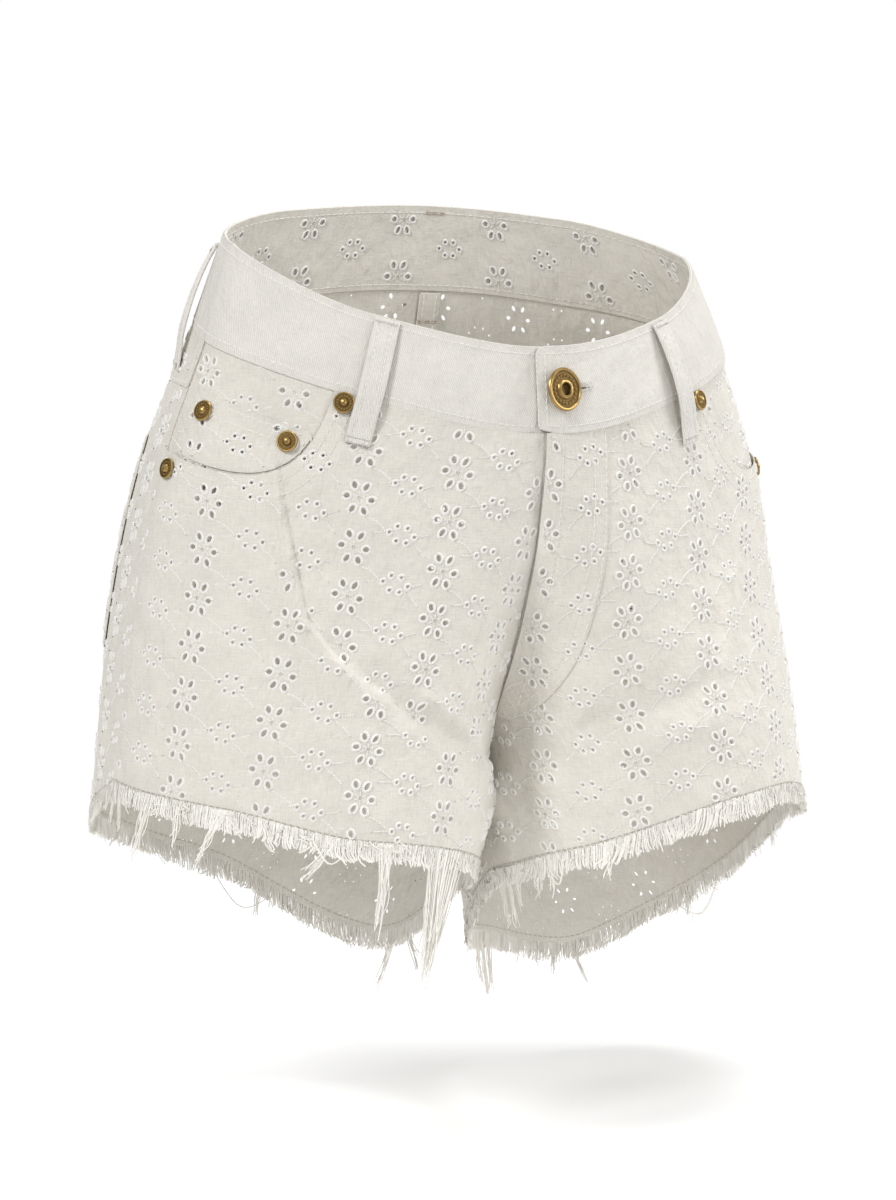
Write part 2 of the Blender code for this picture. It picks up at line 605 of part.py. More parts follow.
def pocket_outline(quarter):
    """The back pocket: square top corners, sides that taper a little, and a blunt point."""
    left, right = POCKET_INNER, POCKET_INNER + POCKET_WIDTH
    middle = (left + right) / 2
    corners = [(left, POCKET_TOP), (middle, POCKET_TOP), (right, POCKET_TOP),
               (right - POCKET_TAPER / 2, POCKET_TOP + POCKET_SIDE / 2),
               (right - POCKET_TAPER, POCKET_TOP + POCKET_SIDE), (middle, POCKET_TOP + POCKET_POINT),
               (left + POCKET_TAPER, POCKET_TOP + POCKET_SIDE),
               (left + POCKET_TAPER / 2, POCKET_TOP + POCKET_SIDE / 2)]
    points = []
    for start, end in zip(corners, corners[1:] + corners[:1]):
        for share in np.arange(4) / 4:
            across = start[0] + (end[0] - start[0]) * share
            fall = start[1] + (end[1] - start[1]) * share
            points.append(chart(quarter, *spot(quarter, across, fall)))
    return np.array(points)


for side_name, quarter in (("right", BACK_RIGHT), ("left", BACK_LEFT)):
    yoke, panel = back_outlines(quarter)
    cut_cloth(f"back_yoke_{side_name}", yoke, [], PANEL_STEP, quarter_surface(quarter), 0.0, PANEL_WALL,
              EYELET)
    cut_cloth(f"back_panel_{side_name}", panel, [], PANEL_STEP, quarter_surface(quarter), 0.0, PANEL_WALL,
              EYELET)
    cut_cloth(f"back_pocket_{side_name}", pocket_outline(quarter), [], PANEL_STEP,
              quarter_surface(quarter), LAID_GAP + POCKET_WALL, POCKET_WALL, EYELET)


# -------------------------------------------------------------------------------------------- belt loops

LOOP_WIDTH = 12.0
LOOP_WALL = 1.8
LOOP_STATIONS = 11
Loop = namedtuple("Loop", "name quarter across_top across_foot fall_top fall_foot bow")
# across is mm from the outseam, or from the inner edge when negative, to the loop's middle
LOOPS = (
    Loop("belt_loop_front_right", FRONT_RIGHT, -74.5, -91.5, -39.5, 22.0, 1.8),
    Loop("belt_loop_front_left", FRONT_LEFT, -80.0, -94.0, -39.5, 22.0, 3.4),
    Loop("belt_loop_side_right", BACK_RIGHT, 31.0, 24.0, -39.5, 21.0, 3.4),
    Loop("belt_loop_side_left", BACK_LEFT, 31.0, 24.0, -39.5, 21.0, 3.0),
    Loop("belt_loop_back", BACK_LEFT, -0.1, -0.1, -39.5, 21.0, 2.2),
)


def belt_loop(loop):
    """A bent strip sewn down at both ends, standing a little off the band between them."""
    share = np.linspace(0.0, 1.0, LOOP_STATIONS)
    outer, inner = [], []
    for s in share:
        across = loop.across_top + (loop.across_foot - loop.across_top) * s
        fall = loop.fall_top + (loop.fall_foot - loop.fall_top) * s
        place, down = spot(loop.quarter, across, fall)
        half = LOOP_WIDTH / 2 / row_length(loop.quarter, down)[0]
        raised = BAND_OUTER * (1.0 - smoothstep((fall - 3.0) / 12.0))
        standoff = raised + SEAM_GAP + 0.1 + loop.bow * math.sin(math.pi * s) ** 0.8
        for offset in (-1.0, 0.0, 1.0):
            at_place = place + offset * half
            quarter = loop.quarter
            if at_place > 1.0:
                quarter = BACK_RIGHT
                at_place = 2.0 - at_place
            point, normal = form_surface(quarter, np.array([at_place]), np.array([down]))
            outer.append(point[0] + normal[0] * (standoff + LOOP_WALL))
            inner.append(point[0] + normal[0] * standoff)
    count = len(outer)
    faces = []
    for row in range(LOOP_STATIONS - 1):
        for column in range(2):
            corner = row * 3 + column
            faces.append((corner, corner + 1, corner + 4, corner + 3))
            faces.append((count + corner, count + corner + 3, count + corner + 4, count + corner + 1))
        for left, right in ((row * 3, row * 3 + 3), (row * 3 + 5, row * 3 + 2)):
            faces.append((left, right, right + count, left + count))
    for column in range(2):
        faces.append((column + 1, column, column + count, column + 1 + count))
        foot = (LOOP_STATIONS - 1) * 3 + column
        faces.append((foot, foot + 1, foot + 1 + count, foot + count))
    points = np.array(outer + inner)
    a, b, c = (points[i] for i in faces[0][:3])
    if np.dot(np.cross(b - a, c - a), points[0] - points[count]) < 0:
        faces = [face[::-1] for face in faces]
    add_object(loop.name, points, faces, TWILL)


for loop in LOOPS:
    belt_loop(loop)


# ------------------------------------------------------------------------------------- button and rivets

BUTTON_RADIUS = 9.8
SHANK_RADIUS = 3.2
BUTTON_SEGMENTS = 20
LAPPED_OUTER = BAND_OUTER + LAP_LIFT
SHANK_FOOT = BAND_OUTER + LAP_SINK + SEAM_GAP
BUTTON_BASE = LAPPED_OUTER + SEAM_GAP + 0.2
BUTTON_PROFILE = (
    (SHANK_RADIUS, SHANK_FOOT),
    (SHANK_RADIUS, BUTTON_BASE),
    (8.6, BUTTON_BASE),
    (BUTTON_RADIUS, BUTTON_BASE + 0.7),
    (BUTTON_RADIUS, BUTTON_BASE + 1.6),
    (9.0, BUTTON_BASE + 2.3),
    (8.2, BUTTON_BASE + 2.0),
    (5.0, BUTTON_BASE + 2.2),
    (3.6, BUTTON_BASE + 3.0),
    (2.2, BUTTON_BASE + 2.8),
    (1.8, BUTTON_BASE + 1.0),
)
middle_down = WAIST_SEAM / 2
button_across = 1.0 - BUTTON_FROM_CENTRE / QUARTER_RUN
button_point, button_normal = form_surface(FRONT_LEFT, np.array([button_across]), np.array([middle_down]))
turned("button", BUTTON_PROFILE, button_point[0], button_normal[0], BUTTON_SEGMENTS, BRASS)

RIVET_RADIUS = 5.1
RIVET_SEGMENTS = 12
POST_RADIUS = 2.4
Rivet = namedtuple("Rivet", "name quarter across fall foot lift")
# foot is how far the post's foot stands off the form, and lift is how much higher the cap's edge is
COIN_TOP_FACE = POCKET_FACING_OUTER + LAID_GAP + COIN_WALL + SEAM_GAP
RIVETS = (
    Rivet("rivet_coin_outer", FRONT_RIGHT, 17.9, 30.0, COIN_TOP_FACE, 0.2),
    Rivet("rivet_coin_inner", FRONT_RIGHT, 64.2, 29.6, COIN_TOP_FACE, 0.2),
    Rivet("rivet_scoop_top_right", FRONT_RIGHT, 83.2, 4.6, SEAM_GAP, 1.1),
    Rivet("rivet_scoop_side_right", FRONT_RIGHT, 6.4, 62.5, SEAM_GAP, 0.2),
    Rivet("rivet_scoop_top_left", FRONT_LEFT, 74.2, 4.6, SEAM_GAP, 1.1),
    Rivet("rivet_scoop_side_left", FRONT_LEFT, 6.4, 62.5, SEAM_GAP, 0.2),
)
for rivet in RIVETS:
    across, down = spot(rivet.quarter, rivet.across, rivet.fall)
    point, normal = form_surface(rivet.quarter, np.array([across]), np.array([down]))
    base = rivet.foot + rivet.lift
    profile = ((POST_RADIUS, rivet.foot), (POST_RADIUS, base), (RIVET_RADIUS - 0.4, base),
               (RIVET_RADIUS, base + 0.5), (RIVET_RADIUS - 0.3, base + 1.1), (3.0, base + 1.5),
               (1.7, base + 1.6), (1.3, base + 2.3), (0.6, base + 2.6))
    turned(rivet.name, profile, point[0], normal[0], RIVET_SEGMENTS, BRASS)


# ------------------------------------------------------------------------------------ frayed raw hems

FRINGE_WALL = 1.0
FRINGE_OUTER = -0.2
HEM_GAP = 0.7
BACKING_DROP = 2.8
LOCK_SHARE = 0.55
LOCK_DROP = 9.0
Lock = namedtuple("Lock", "quarter across length drift")
# Locks that hang past the rest: mm from the outseam, hanging length, and how far the end drifts
# towards the inner edge
LONG_LOCKS = (
    Lock(FRONT_RIGHT, 10, 26, -2),
    Lock(FRONT_RIGHT, 34, 30, 1),
    Lock(FRONT_RIGHT, 62, 22, 3),
    Lock(FRONT_RIGHT, 96, 24, -4),
    Lock(FRONT_RIGHT, 152, 20, -4),
    Lock(FRONT_RIGHT, 190, 50, 3),
    Lock(FRONT_RIGHT, 194, 40, -2),
    Lock(FRONT_RIGHT, 246, 54, 2),
    Lock(FRONT_RIGHT, 254, 46, -3),
    Lock(FRONT_LEFT, 112, 24, 2),
    Lock(FRONT_LEFT, 150, 26, -3),
    Lock(FRONT_LEFT, 158, 20, 2),
    Lock(FRONT_LEFT, 200, 26, 4),
    Lock(FRONT_LEFT, 252, 28, -2),
    Lock(BACK_RIGHT, 150, 24, 6),
    Lock(BACK_RIGHT, 166, 22, -5),
    Lock(BACK_RIGHT, 292, 34, 2),
    Lock(BACK_RIGHT, 304, 30, -3),
    Lock(BACK_LEFT, 18, 22, 2),
    Lock(BACK_LEFT, 92, 26, -6),
    Lock(BACK_LEFT, 196, 26, 3),
    Lock(BACK_LEFT, 246, 26, -2),
    Lock(BACK_LEFT, 262, 24, 2),
)


def below_hem(quarter, across, drop, out):
    """Points that hang `drop` mm below the hem, `out` mm off the form."""
    across = np.asarray(across, float)
    hem, normals = form_surface(quarter, across, np.full(len(across), 1.0))
    above = form_points(quarter, across, np.full(len(across), 1.0 - NUDGE))
    falling = hem - normals * fold_height(quarter, chart(quarter, across, 1.0))[:, None] - above
    falling /= np.linalg.norm(falling, axis=1)[:, None]
    return hem + falling * np.asarray(drop)[..., None] + normals * np.asarray(out)[..., None]


def fringe(name, quarter, locks):
    """A narrow strip of backing just below the hem, with tapering locks of thread growing from it."""
    length = row_length(quarter, 1.0)[0]
    edge = SEAM_GAP / length
    pitch = (1.0 - 2 * edge) / locks
    stations = [edge]
    for i in range(locks):
        stations += [edge + pitch * (i + (1 - LOCK_SHARE)), edge + pitch * (i + 1)]
    stations = np.array(stations)
    many = np.full(len(stations), 1.0)
    rails = [below_hem(quarter, stations, many * drop, many * out)
             for drop, out in ((HEM_GAP, FRINGE_OUTER), (BACKING_DROP, FRINGE_OUTER),
                               (BACKING_DROP, FRINGE_OUTER - FRINGE_WALL), (HEM_GAP, FRINGE_OUTER - FRINGE_WALL))]
    count = len(stations)
    points = [p for rail in rails for p in rail]
    top_out, low_out, low_in, top_in = (np.arange(count) + k * count for k in range(4))
    faces = [(top_out[0], low_out[0], low_in[0], top_in[0]),
             (top_in[-1], low_in[-1], low_out[-1], top_out[-1])]
    long_at = {}
    for lock in LONG_LOCKS:
        if lock.quarter is quarter:
            long_at[int((lock.across / length - edge) / pitch)] = lock
    for i in range(count - 1):
        faces.append((top_out[i], top_out[i + 1], low_out[i + 1], low_out[i]))
        faces.append((top_in[i + 1], top_in[i], low_in[i], low_in[i + 1]))
        faces.append((top_in[i], top_in[i + 1], top_out[i + 1], top_out[i]))
        ring = [low_out[i], low_out[i + 1], low_in[i + 1], low_in[i]]
        if i % 2 == 0:
            faces.append(tuple(ring))
            continue
        number = i // 2
        lock = long_at.get(number)
        wave = math.sin(number * 2.4 + 1.1 * quarter.side) + 0.6 * math.sin(number * 5.7)
        drop = lock.length if lock else LOCK_DROP + 1.6 * wave
        drift = (lock.drift if lock else 0.9 * math.sin(number * 3.3)) / length
        steps = 4 if lock else 2
        middle = (stations[i] + stations[i + 1]) / 2
        half = (stations[i + 1] - stations[i]) / 2
        for step in range(1, steps + 1):
            share = step / steps
            slim = half * (1.0 - 0.55 * share)
            shift = drift * share
            sway = 0.8 * math.sin(share * 3.0 + number) * share
            thick = FRINGE_WALL * (1.0 - 0.6 * share)
            level = BACKING_DROP + (drop - BACKING_DROP) * share
            centre_out = FRINGE_OUTER - FRINGE_WALL / 2 + sway
            places = np.array([middle - slim, middle + slim, middle + slim, middle - slim]) + shift
            places = np.clip(places, 0.0015, 0.9985)
            outs = np.array([1, 1, -1, -1]) * thick / 2 + centre_out
            new = len(points) + np.arange(4)
            points += list(below_hem(quarter, places, np.full(4, level), outs))
            for k in range(4):
                faces.append((ring[k], ring[(k + 1) % 4], new[(k + 1) % 4], new[k]))
            ring = list(new)
        faces.append(tuple(ring))
    if (quarter.side == LEFT) != quarter.front:
        faces = [face[::-1] for face in faces]
    add_object(name, points, faces, EYELET)


fringe("fringe_front_right", FRONT_RIGHT, 38)
fringe("fringe_front_left", FRONT_LEFT, 38)
fringe("fringe_back_right", BACK_RIGHT, 46)
fringe("fringe_back_left", BACK_LEFT, 46)
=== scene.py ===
import math
from collections import namedtuple

import bpy
import numpy as np
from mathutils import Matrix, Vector
from mathutils.geometry import delaunay_2d_cdt


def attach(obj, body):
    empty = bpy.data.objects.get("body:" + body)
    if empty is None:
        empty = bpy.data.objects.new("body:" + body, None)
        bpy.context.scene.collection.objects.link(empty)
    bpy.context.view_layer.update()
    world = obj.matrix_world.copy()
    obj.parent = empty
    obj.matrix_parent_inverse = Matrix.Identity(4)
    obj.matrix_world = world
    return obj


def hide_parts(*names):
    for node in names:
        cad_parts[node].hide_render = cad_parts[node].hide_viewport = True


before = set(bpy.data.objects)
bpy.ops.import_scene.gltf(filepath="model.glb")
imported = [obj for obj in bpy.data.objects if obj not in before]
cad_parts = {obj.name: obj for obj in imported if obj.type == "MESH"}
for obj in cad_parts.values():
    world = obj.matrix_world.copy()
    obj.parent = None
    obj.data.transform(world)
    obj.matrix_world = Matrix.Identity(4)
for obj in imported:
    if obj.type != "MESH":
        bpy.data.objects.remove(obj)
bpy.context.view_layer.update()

# ---- Camera, light and floor
# The shorts stand in the air as if worn, over a plain white floor, seen from the wearer's front right
# and a hair above the waist, in soft light from all round.

AIM = Vector((-0.0073, 0.0033, -0.161))
SIGHT = Vector((-0.4062, -0.9123, 0.0523))
SIGHT_DISTANCE = 1.5
LIT_MIDDLE = Vector((0, 0, -0.15))
FLOOR_HEIGHT = -0.414


def put_in(name, data, place=(0, 0, 0), facing=None):
    """A new object in the scene, turned to face a point where one is given."""
    made = bpy.data.objects.new(name, data)
    made.location = place
    if facing is not None:
        made.rotation_euler = (facing - made.location).to_track_quat("-Z", "Y").to_euler()
    bpy.context.scene.collection.objects.link(made)
    return made


def set_up(node, **settings):
    """Sets a node. A capital marks a socket, with _ for a space; a socket as its value is linked to it."""
    for name, value in settings.items():
        if not name[0].isupper():
            setattr(node, name, value)
        elif isinstance(value, bpy.types.NodeSocket):
            node.id_data.links.new(value, node.inputs[name.replace("_", " ")])
        else:
            node.inputs[name.replace("_", " ")].default_value = value
    return node


def add_node(tree, kind, **settings):
    return set_up(tree.nodes.new(f"ShaderNode{kind}"), **settings)


def new_finish(name, **settings):
    """A new material, its node tree and its shader."""
    finish = bpy.data.materials.new(name)
    finish.use_nodes = True
    return finish, finish.node_tree, set_up(finish.node_tree.nodes["Principled BSDF"], **settings)


def softbox(name, place, size, power):
    light = bpy.data.lights.new(name, "AREA")
    light.shape = "DISK"
    light.size = size
    light.energy = power
    put_in(name, light, place, LIT_MIDDLE)


lens = bpy.data.cameras.new("camera")
lens.sensor_fit = "VERTICAL"
lens.sensor_height = 36.0
lens.lens = 90.0
bpy.context.scene.camera = put_in("camera", lens, AIM + SIGHT_DISTANCE * SIGHT, AIM)

world = bpy.data.worlds.new("studio")
world.use_nodes = True
seen = add_node(world.node_tree, "LightPath").outputs["Is Camera Ray"]
bright = add_node(world.node_tree, "MapRange", Value=seen, To_Min=0.44, To_Max=1.0)
set_up(world.node_tree.nodes["Background"], Color=(1.0, 1.0, 1.0, 1.0), Strength=bright.outputs["Result"])
bpy.context.scene.world = world
bpy.context.scene.view_settings.view_transform = "Standard"

softbox("key_light", (-1.7, -0.9, 1.25), 0.6, 26.5)
softbox("right_light", (1.9, -0.7, 0.75), 1.0, 19.0)
softbox("fill_light", (0.3, -2.1, 0.2), 1.2, 7.0)
softbox("top_light", (0.55, -0.1, 2.0), 0.9, 20.0)
softbox("back_light", (0.1, 2.0, 0.7), 1.2, 15.0)

bpy.ops.mesh.primitive_circle_add(vertices=96, radius=1.5, fill_type="NGON", location=(0, 0, FLOOR_HEIGHT))
floor = bpy.context.object
floor.name = "floor"
paint, tree, shader = new_finish("floor_paint", Base_Color=(0.76, 0.76, 0.755, 1.0), Roughness=0.9,
                                 Emission_Color=(1.0, 1.0, 1.0, 1.0), Emission_Strength=0.2)
# the paint fades out to the white of the studio away from the middle
where = add_node(tree, "TexCoord").outputs["Object"]
away = add_node(tree, "VectorMath", operation="LENGTH", Vector=where).outputs["Value"]
fade = add_node(tree, "MapRange", interpolation_type="SMOOTHSTEP", Value=away, From_Min=0.35, From_Max=1.1,
                To_Min=1.0, To_Max=0.0)
set_up(shader, Alpha=fade.outputs["Result"])
floor.data.materials.append(paint)

# ---- The front panels
# Each front is one piece of eyelet cotton cut from waist to hem, scooped for the pocket, with a fold
# pressed in over the pocket bag. It hangs on the worn form: rows of the form's section from the rim of
# the waistband (down 0) to the stay-stitch at the hem (down 1), from the outseam (across 0) to the
# centre seam or inseam (across 1). Lengths are mm until a mesh is made.

MM = 0.001
RIGHT, LEFT = -1, 1
SEAM_GAP = 0.3
WAIST_SEAM = 0.15
CROTCH = 0.88
CHART_WIDTH = 230.0
CHART_HEIGHT = 290.0

Section = namedtuple("Section", "down side_x side_y side_z corner_z bulge_x bulge_y bulge_z "
                                "under_z inner_x inner_y inner_z turn")
FRONT_ROWS = (
    Section(0.00, 122, -2, 13, -22, 1, -88, -37, -37, 0, -88, -37, 0),
    Section(0.15, 139, -8, -34, -61, 6, -92, -78, -78, 0, -92, -78, 0),
    Section(0.35, 158, -6, -87, -108, 25, -91, -121, -122, 0, -86, -122, 18),
    Section(0.55, 168, -3, -140, -154, 54, -90, -164, -165, 0, -67, -166, 40),
    Section(0.75, 176, -4, -190, -196, 80, -93, -208, -212, 0, -37, -216, 66),
    Section(0.88, 180, -4, -224, -226, 90, -96, -238, -246, 0, -16, -256, 90),
    Section(1.00, 184, -4, -256, -253, 92, -97, -262, -279, 8, -16, -296, 90),
)
BACK_ROWS = (
    Section(0.00, 122, -2, 13, 34, 1, 50, 39, 39, 0, 50, 39, 0),
    Section(0.15, 139, -8, -34, -12, 10, 58, -4, -4, 0, 58, -4, 0),
    Section(0.35, 158, -6, -87, -78, 36, 84, -72, -72, 0, 80, -72, 6),
    Section(0.55, 168, -3, -140, -142, 66, 98, -143, -141, 0, 90, -140, 20),
    Section(0.75, 176, -4, -190, -205, 84, 97, -216, -216, 0, 68, -214, 50),
    Section(0.88, 180, -4, -224, -250, 92, 95, -272, -272, 0, -16, -256, 90),
    Section(1.00, 184, -4, -256, -295, 100, 93, -325, -336, 8, -16, -296, 90),
)
Quarter = namedtuple("Quarter", "name rows side front fullness")
FRONT_RIGHT = Quarter("front_right", FRONT_ROWS, RIGHT, True, 0.42)
FRONT_LEFT = Quarter("front_left", FRONT_ROWS, LEFT, True, 0.42)
BACK_RIGHT = Quarter("back_right", BACK_ROWS, RIGHT, False, 0.80)
BACK_LEFT = Quarter("back_left", BACK_ROWS, LEFT, False, 0.80)

STRIDE = 0.19
STRIDE_PIVOT_Y = -70.0
STRIDE_FROM_DOWN = 0.30
STRIDE_FROM_X, STRIDE_FULL_X = 10.0, 115.0

Fold = namedtuple("Fold", "quarter across_1 fall_1 across_2 fall_2 width far_width height")
# width is on the outseam side of the fold's line and far_width on the other, so a fold may be soft on
# one side and lie sharply over on the other.
FOLDS = (
    Fold(FRONT_RIGHT, 66, 46, 72, 60, 7, 1.6, 1.7),
    Fold(FRONT_RIGHT, 72, 60, 84, 84, 8, 1.1, 2.9),
    Fold(FRONT_RIGHT, 84, 84, 96, 110, 8, 1.1, 3.1),
    Fold(FRONT_RIGHT, 96, 110, 116, 127, 8, 1.8, 2.8),
    Fold(FRONT_RIGHT, 116, 127, 140, 138, 8, 4.0, 2.3),
    Fold(FRONT_RIGHT, 67, 46, 73, 60, 1.3, 1.3, -0.9),
    Fold(FRONT_RIGHT, 73, 60, 85, 84, 1.3, 1.3, -1.2),
    Fold(FRONT_RIGHT, 85, 84, 97, 110, 1.3, 1.3, -1.1),
    Fold(FRONT_RIGHT, 132, 130, 178, 148, 9, 9, -3.0),
    Fold(FRONT_RIGHT, -48, 166, -80, 134, 6, 6, 2.9),
    Fold(FRONT_RIGHT, -24, 170, -60, 160, 6, 6, -2.7),
    Fold(FRONT_RIGHT, -20, 188, -58, 196, 8, 8, 1.4),
    Fold(FRONT_RIGHT, 30, 196, 90, 204, 10, 10, -1.7),
    Fold(FRONT_RIGHT, 96, 60, 120, 100, 8, 8, -1.5),
    Fold(FRONT_LEFT, 72, 58, 90, 92, 6, 6, 1.2),
    Fold(FRONT_LEFT, 90, 92, 118, 134, 6, 6, 1.2),
    Fold(FRONT_LEFT, -44, 160, -80, 130, 8, 8, -2.0),
    Fold(FRONT_LEFT, -16, 190, -40, 222, 8, 8, 3.3),
    Fold(FRONT_LEFT, -34, 186, -66, 214, 9, 9, -2.7),
    Fold(FRONT_LEFT, -60, 150, -110, 138, 8, 8, -2.2),
    Fold(FRONT_LEFT, -70, 166, -126, 160, 8, 8, 1.8),
    Fold(BACK_RIGHT, -120, 236, -40, 214, 10, 10, -3.0),
    Fold(BACK_RIGHT, -100, 200, -30, 178, 12, 12, 1.8),
    Fold(BACK_LEFT, -120, 236, -40, 214, 10, 10, -3.0),
    Fold(BACK_LEFT, -100, 200, -30, 178, 12, 12, 1.8),
)


def smoothstep(x):
    x = np.clip(x, 0.0, 1.0)
    return x * x * (3.0 - 2.0 * x)


def unit(vectors):
    return vectors / np.maximum(np.linalg.norm(vectors, axis=-1, keepdims=True), 1e-9)


def run_along(points, axis=0):
    """The length run along chains of points, up to each of them."""
    steps = np.linalg.norm(np.diff(points, axis=axis), axis=-1)
    return np.insert(np.cumsum(steps, axis=axis), 0, 0.0, axis=axis)


def read_run(at, along, values):
    """The values along a run, a column for each, read at the wanted lengths."""
    return np.stack([np.interp(at, along, column) for column in values.T], axis=-1)


def monotone(knots, values, wanted):
    """A smooth curve through each row's knots that never overshoots them, read at the wanted places."""
    gaps = np.diff(knots, axis=1)
    slopes = np.diff(values, axis=1) / gaps
    tangents = np.zeros_like(values, dtype=float)
    tangents[:, 0] = slopes[:, 0]
    tangents[:, -1] = slopes[:, -1]
    for i in range(1, knots.shape[1] - 1):
        before, after = slopes[:, i - 1], slopes[:, i]
        weight_before = 2 * gaps[:, i] + gaps[:, i - 1]
        weight_after = gaps[:, i] + 2 * gaps[:, i - 1]
        same_way = before * after > 0
        safe_before = np.where(same_way, before, 1.0)
        safe_after = np.where(same_way, after, 1.0)
        mean = (weight_before + weight_after) / (weight_before / safe_before + weight_after / safe_after)
        tangents[:, i] = np.where(same_way, mean, 0.0)
    row = np.arange(len(wanted))[:, None]
    span = np.zeros(wanted.shape, dtype=int)
    for i in range(1, knots.shape[1] - 1):
        span += wanted >= knots[:, i:i + 1]
    gap = gaps[row, span]
    u = (wanted - knots[row, span]) / gap
    return ((1 + 2 * u) * (1 - u) ** 2 * values[row, span] + u * (1 - u) ** 2 * gap * tangents[row, span]
            + u * u * (3 - 2 * u) * values[row, span + 1] + u * u * (u - 1) * gap * tangents[row, span + 1])


def bezier(start, first, second, end, u):
    return start * (1 - u) ** 3 + 3 * first * (1 - u) ** 2 * u + 3 * second * (1 - u) * u * u + end * u ** 3


def rows_at(quarter, down):
    """Each row of the quarter as a chain of points, and the length along it."""
    table = np.array(quarter.rows, dtype=float).T
    knots = np.repeat(table[:1], len(table) - 1, axis=0)
    columns = monotone(knots, table[1:], np.repeat(down[None, :], len(table) - 1, axis=0))
    s = Section(down[:, None], *(column[:, None] for column in columns))
    u = np.linspace(0.0, 1.0, 97)[None, :]
    outward = -1.0 if quarter.front else 1.0
    full = quarter.fullness
    side_x = bezier(s.side_x, s.side_x, s.bulge_x + full * (s.side_x - s.bulge_x), s.bulge_x, u)
    side_y = bezier(s.side_y, s.side_y + full * (s.bulge_y - s.side_y), s.bulge_y, s.bulge_y, u)
    turn = np.radians(s.turn)
    reach = 0.42 * np.hypot(s.bulge_x - s.inner_x, s.bulge_y - s.inner_y)
    inner_x = bezier(s.bulge_x, s.bulge_x - reach, s.inner_x + reach * np.cos(turn), s.inner_x, u)
    inner_y = bezier(s.bulge_y, s.bulge_y, s.inner_y + outward * reach * np.sin(turn), s.inner_y, u)
    x = np.concatenate([side_x, inner_x[:, 1:]], axis=1)
    y = np.concatenate([side_y, inner_y[:, 1:]], axis=1)
    along = run_along(np.stack([x, y], axis=-1), axis=1)
    share = along / along[:, -1:]
    bulge = share[:, 96:97]
    places = np.concatenate([0 * bulge, 0.5 * bulge, bulge, bulge + 0.52 * (1 - bulge), 0 * bulge + 1],
                            axis=1)
    heights = np.concatenate([s.side_z, s.corner_z, s.bulge_z, s.under_z, s.inner_z], axis=1)
    z = monotone(places, heights, share)
    leg = smoothstep((s.down - STRIDE_FROM_DOWN) / (1.0 - STRIDE_FROM_DOWN))
    outer = smoothstep((x - STRIDE_FROM_X) / (STRIDE_FULL_X - STRIDE_FROM_X))
    z = z - quarter.side * STRIDE * (y - STRIDE_PIVOT_Y) * leg * outer
    points = np.stack([quarter.side * (x + SEAM_GAP / 2), y, z], axis=-1)
    return points, run_along(points, axis=1)


PLACES = np.linspace(0.0, 1.0, 201)
LEVELS = np.linspace(0.0, 1.0, 261)
cloth_grids = {}


def read_grid(quarter, across, down):
    """The quarter's grid at any place: point (0:3), normal (3:6), fall below the waist seam (6), row
    length (7) and height on the cloth's own grain (8)."""
    table = cloth_grids[quarter.name]
    x = np.clip(across, 0.0, 1.0) * (len(PLACES) - 1)
    y = np.clip(down, 0.0, 1.0) * (len(LEVELS) - 1)
    column = np.minimum(x.astype(int), len(PLACES) - 2)
    row = np.minimum(y.astype(int), len(LEVELS) - 2)
    u, v = (x - column)[:, None], (y - row)[:, None]
    return ((table[row, column] * (1 - u) + table[row, column + 1] * u) * (1 - v)
            + (table[row + 1, column] * (1 - u) + table[row + 1, column + 1] * u) * v)


def read_chart(quarter, xy):
    return read_grid(quarter, xy[:, 0] / CHART_WIDTH, xy[:, 1] / CHART_HEIGHT)


def spot(quarter, across_mm, fall_mm):
    """The (across, down) of a place in mm: from the outseam, or the inner edge when negative, and below
    the waist seam."""
    across_mm, fall_mm = np.broadcast_arrays(np.atleast_1d(np.asarray(across_mm, float)),
                                             np.atleast_1d(np.asarray(fall_mm, float)))
    across = np.full(len(across_mm), 0.5)
    down = np.full(len(across_mm), 0.4)
    for _ in range(14):
        here = read_grid(quarter, across, down)
        across = np.where(across_mm >= 0, 0.0, 1.0) + across_mm / here[:, 7]
        down = down + (fall_mm - here[:, 6]) / 250.0
    return across, down


def chart(across, down):
    places = np.broadcast_arrays(np.asarray(across) * CHART_WIDTH, np.asarray(down) * CHART_HEIGHT)
    return np.stack(places, axis=-1)


def chart_mm(quarter, across_mm, fall_mm):
    return chart(*spot(quarter, across_mm, fall_mm))


def outward_normals(quarter, points):
    normals = unit(np.cross(np.gradient(points, axis=1), np.gradient(points, axis=0)))
    return normals * (1.0 if (quarter.side == LEFT) == quarter.front else -1.0)


def fold_rise(fold, x, y):
    """How far one fold lifts the cloth, at each place of the chart."""
    start, end = chart_mm(fold.quarter, (fold.across_1, fold.across_2), (fold.fall_1, fold.fall_2))
    line = end - start
    share = np.clip(((x - start[0]) * line[0] + (y - start[1]) * line[1]) / (line @ line), 0.0, 1.0)
    away = np.hypot(x - start[0] - share * line[0], y - start[1] - share * line[1])
    beyond = ((x - start[0]) * line[1] - (y - start[1]) * line[0] > 0) == (line[1] > 0)
    return fold.height * np.exp(-(away / np.where(beyond, fold.far_width, fold.width)) ** 2)


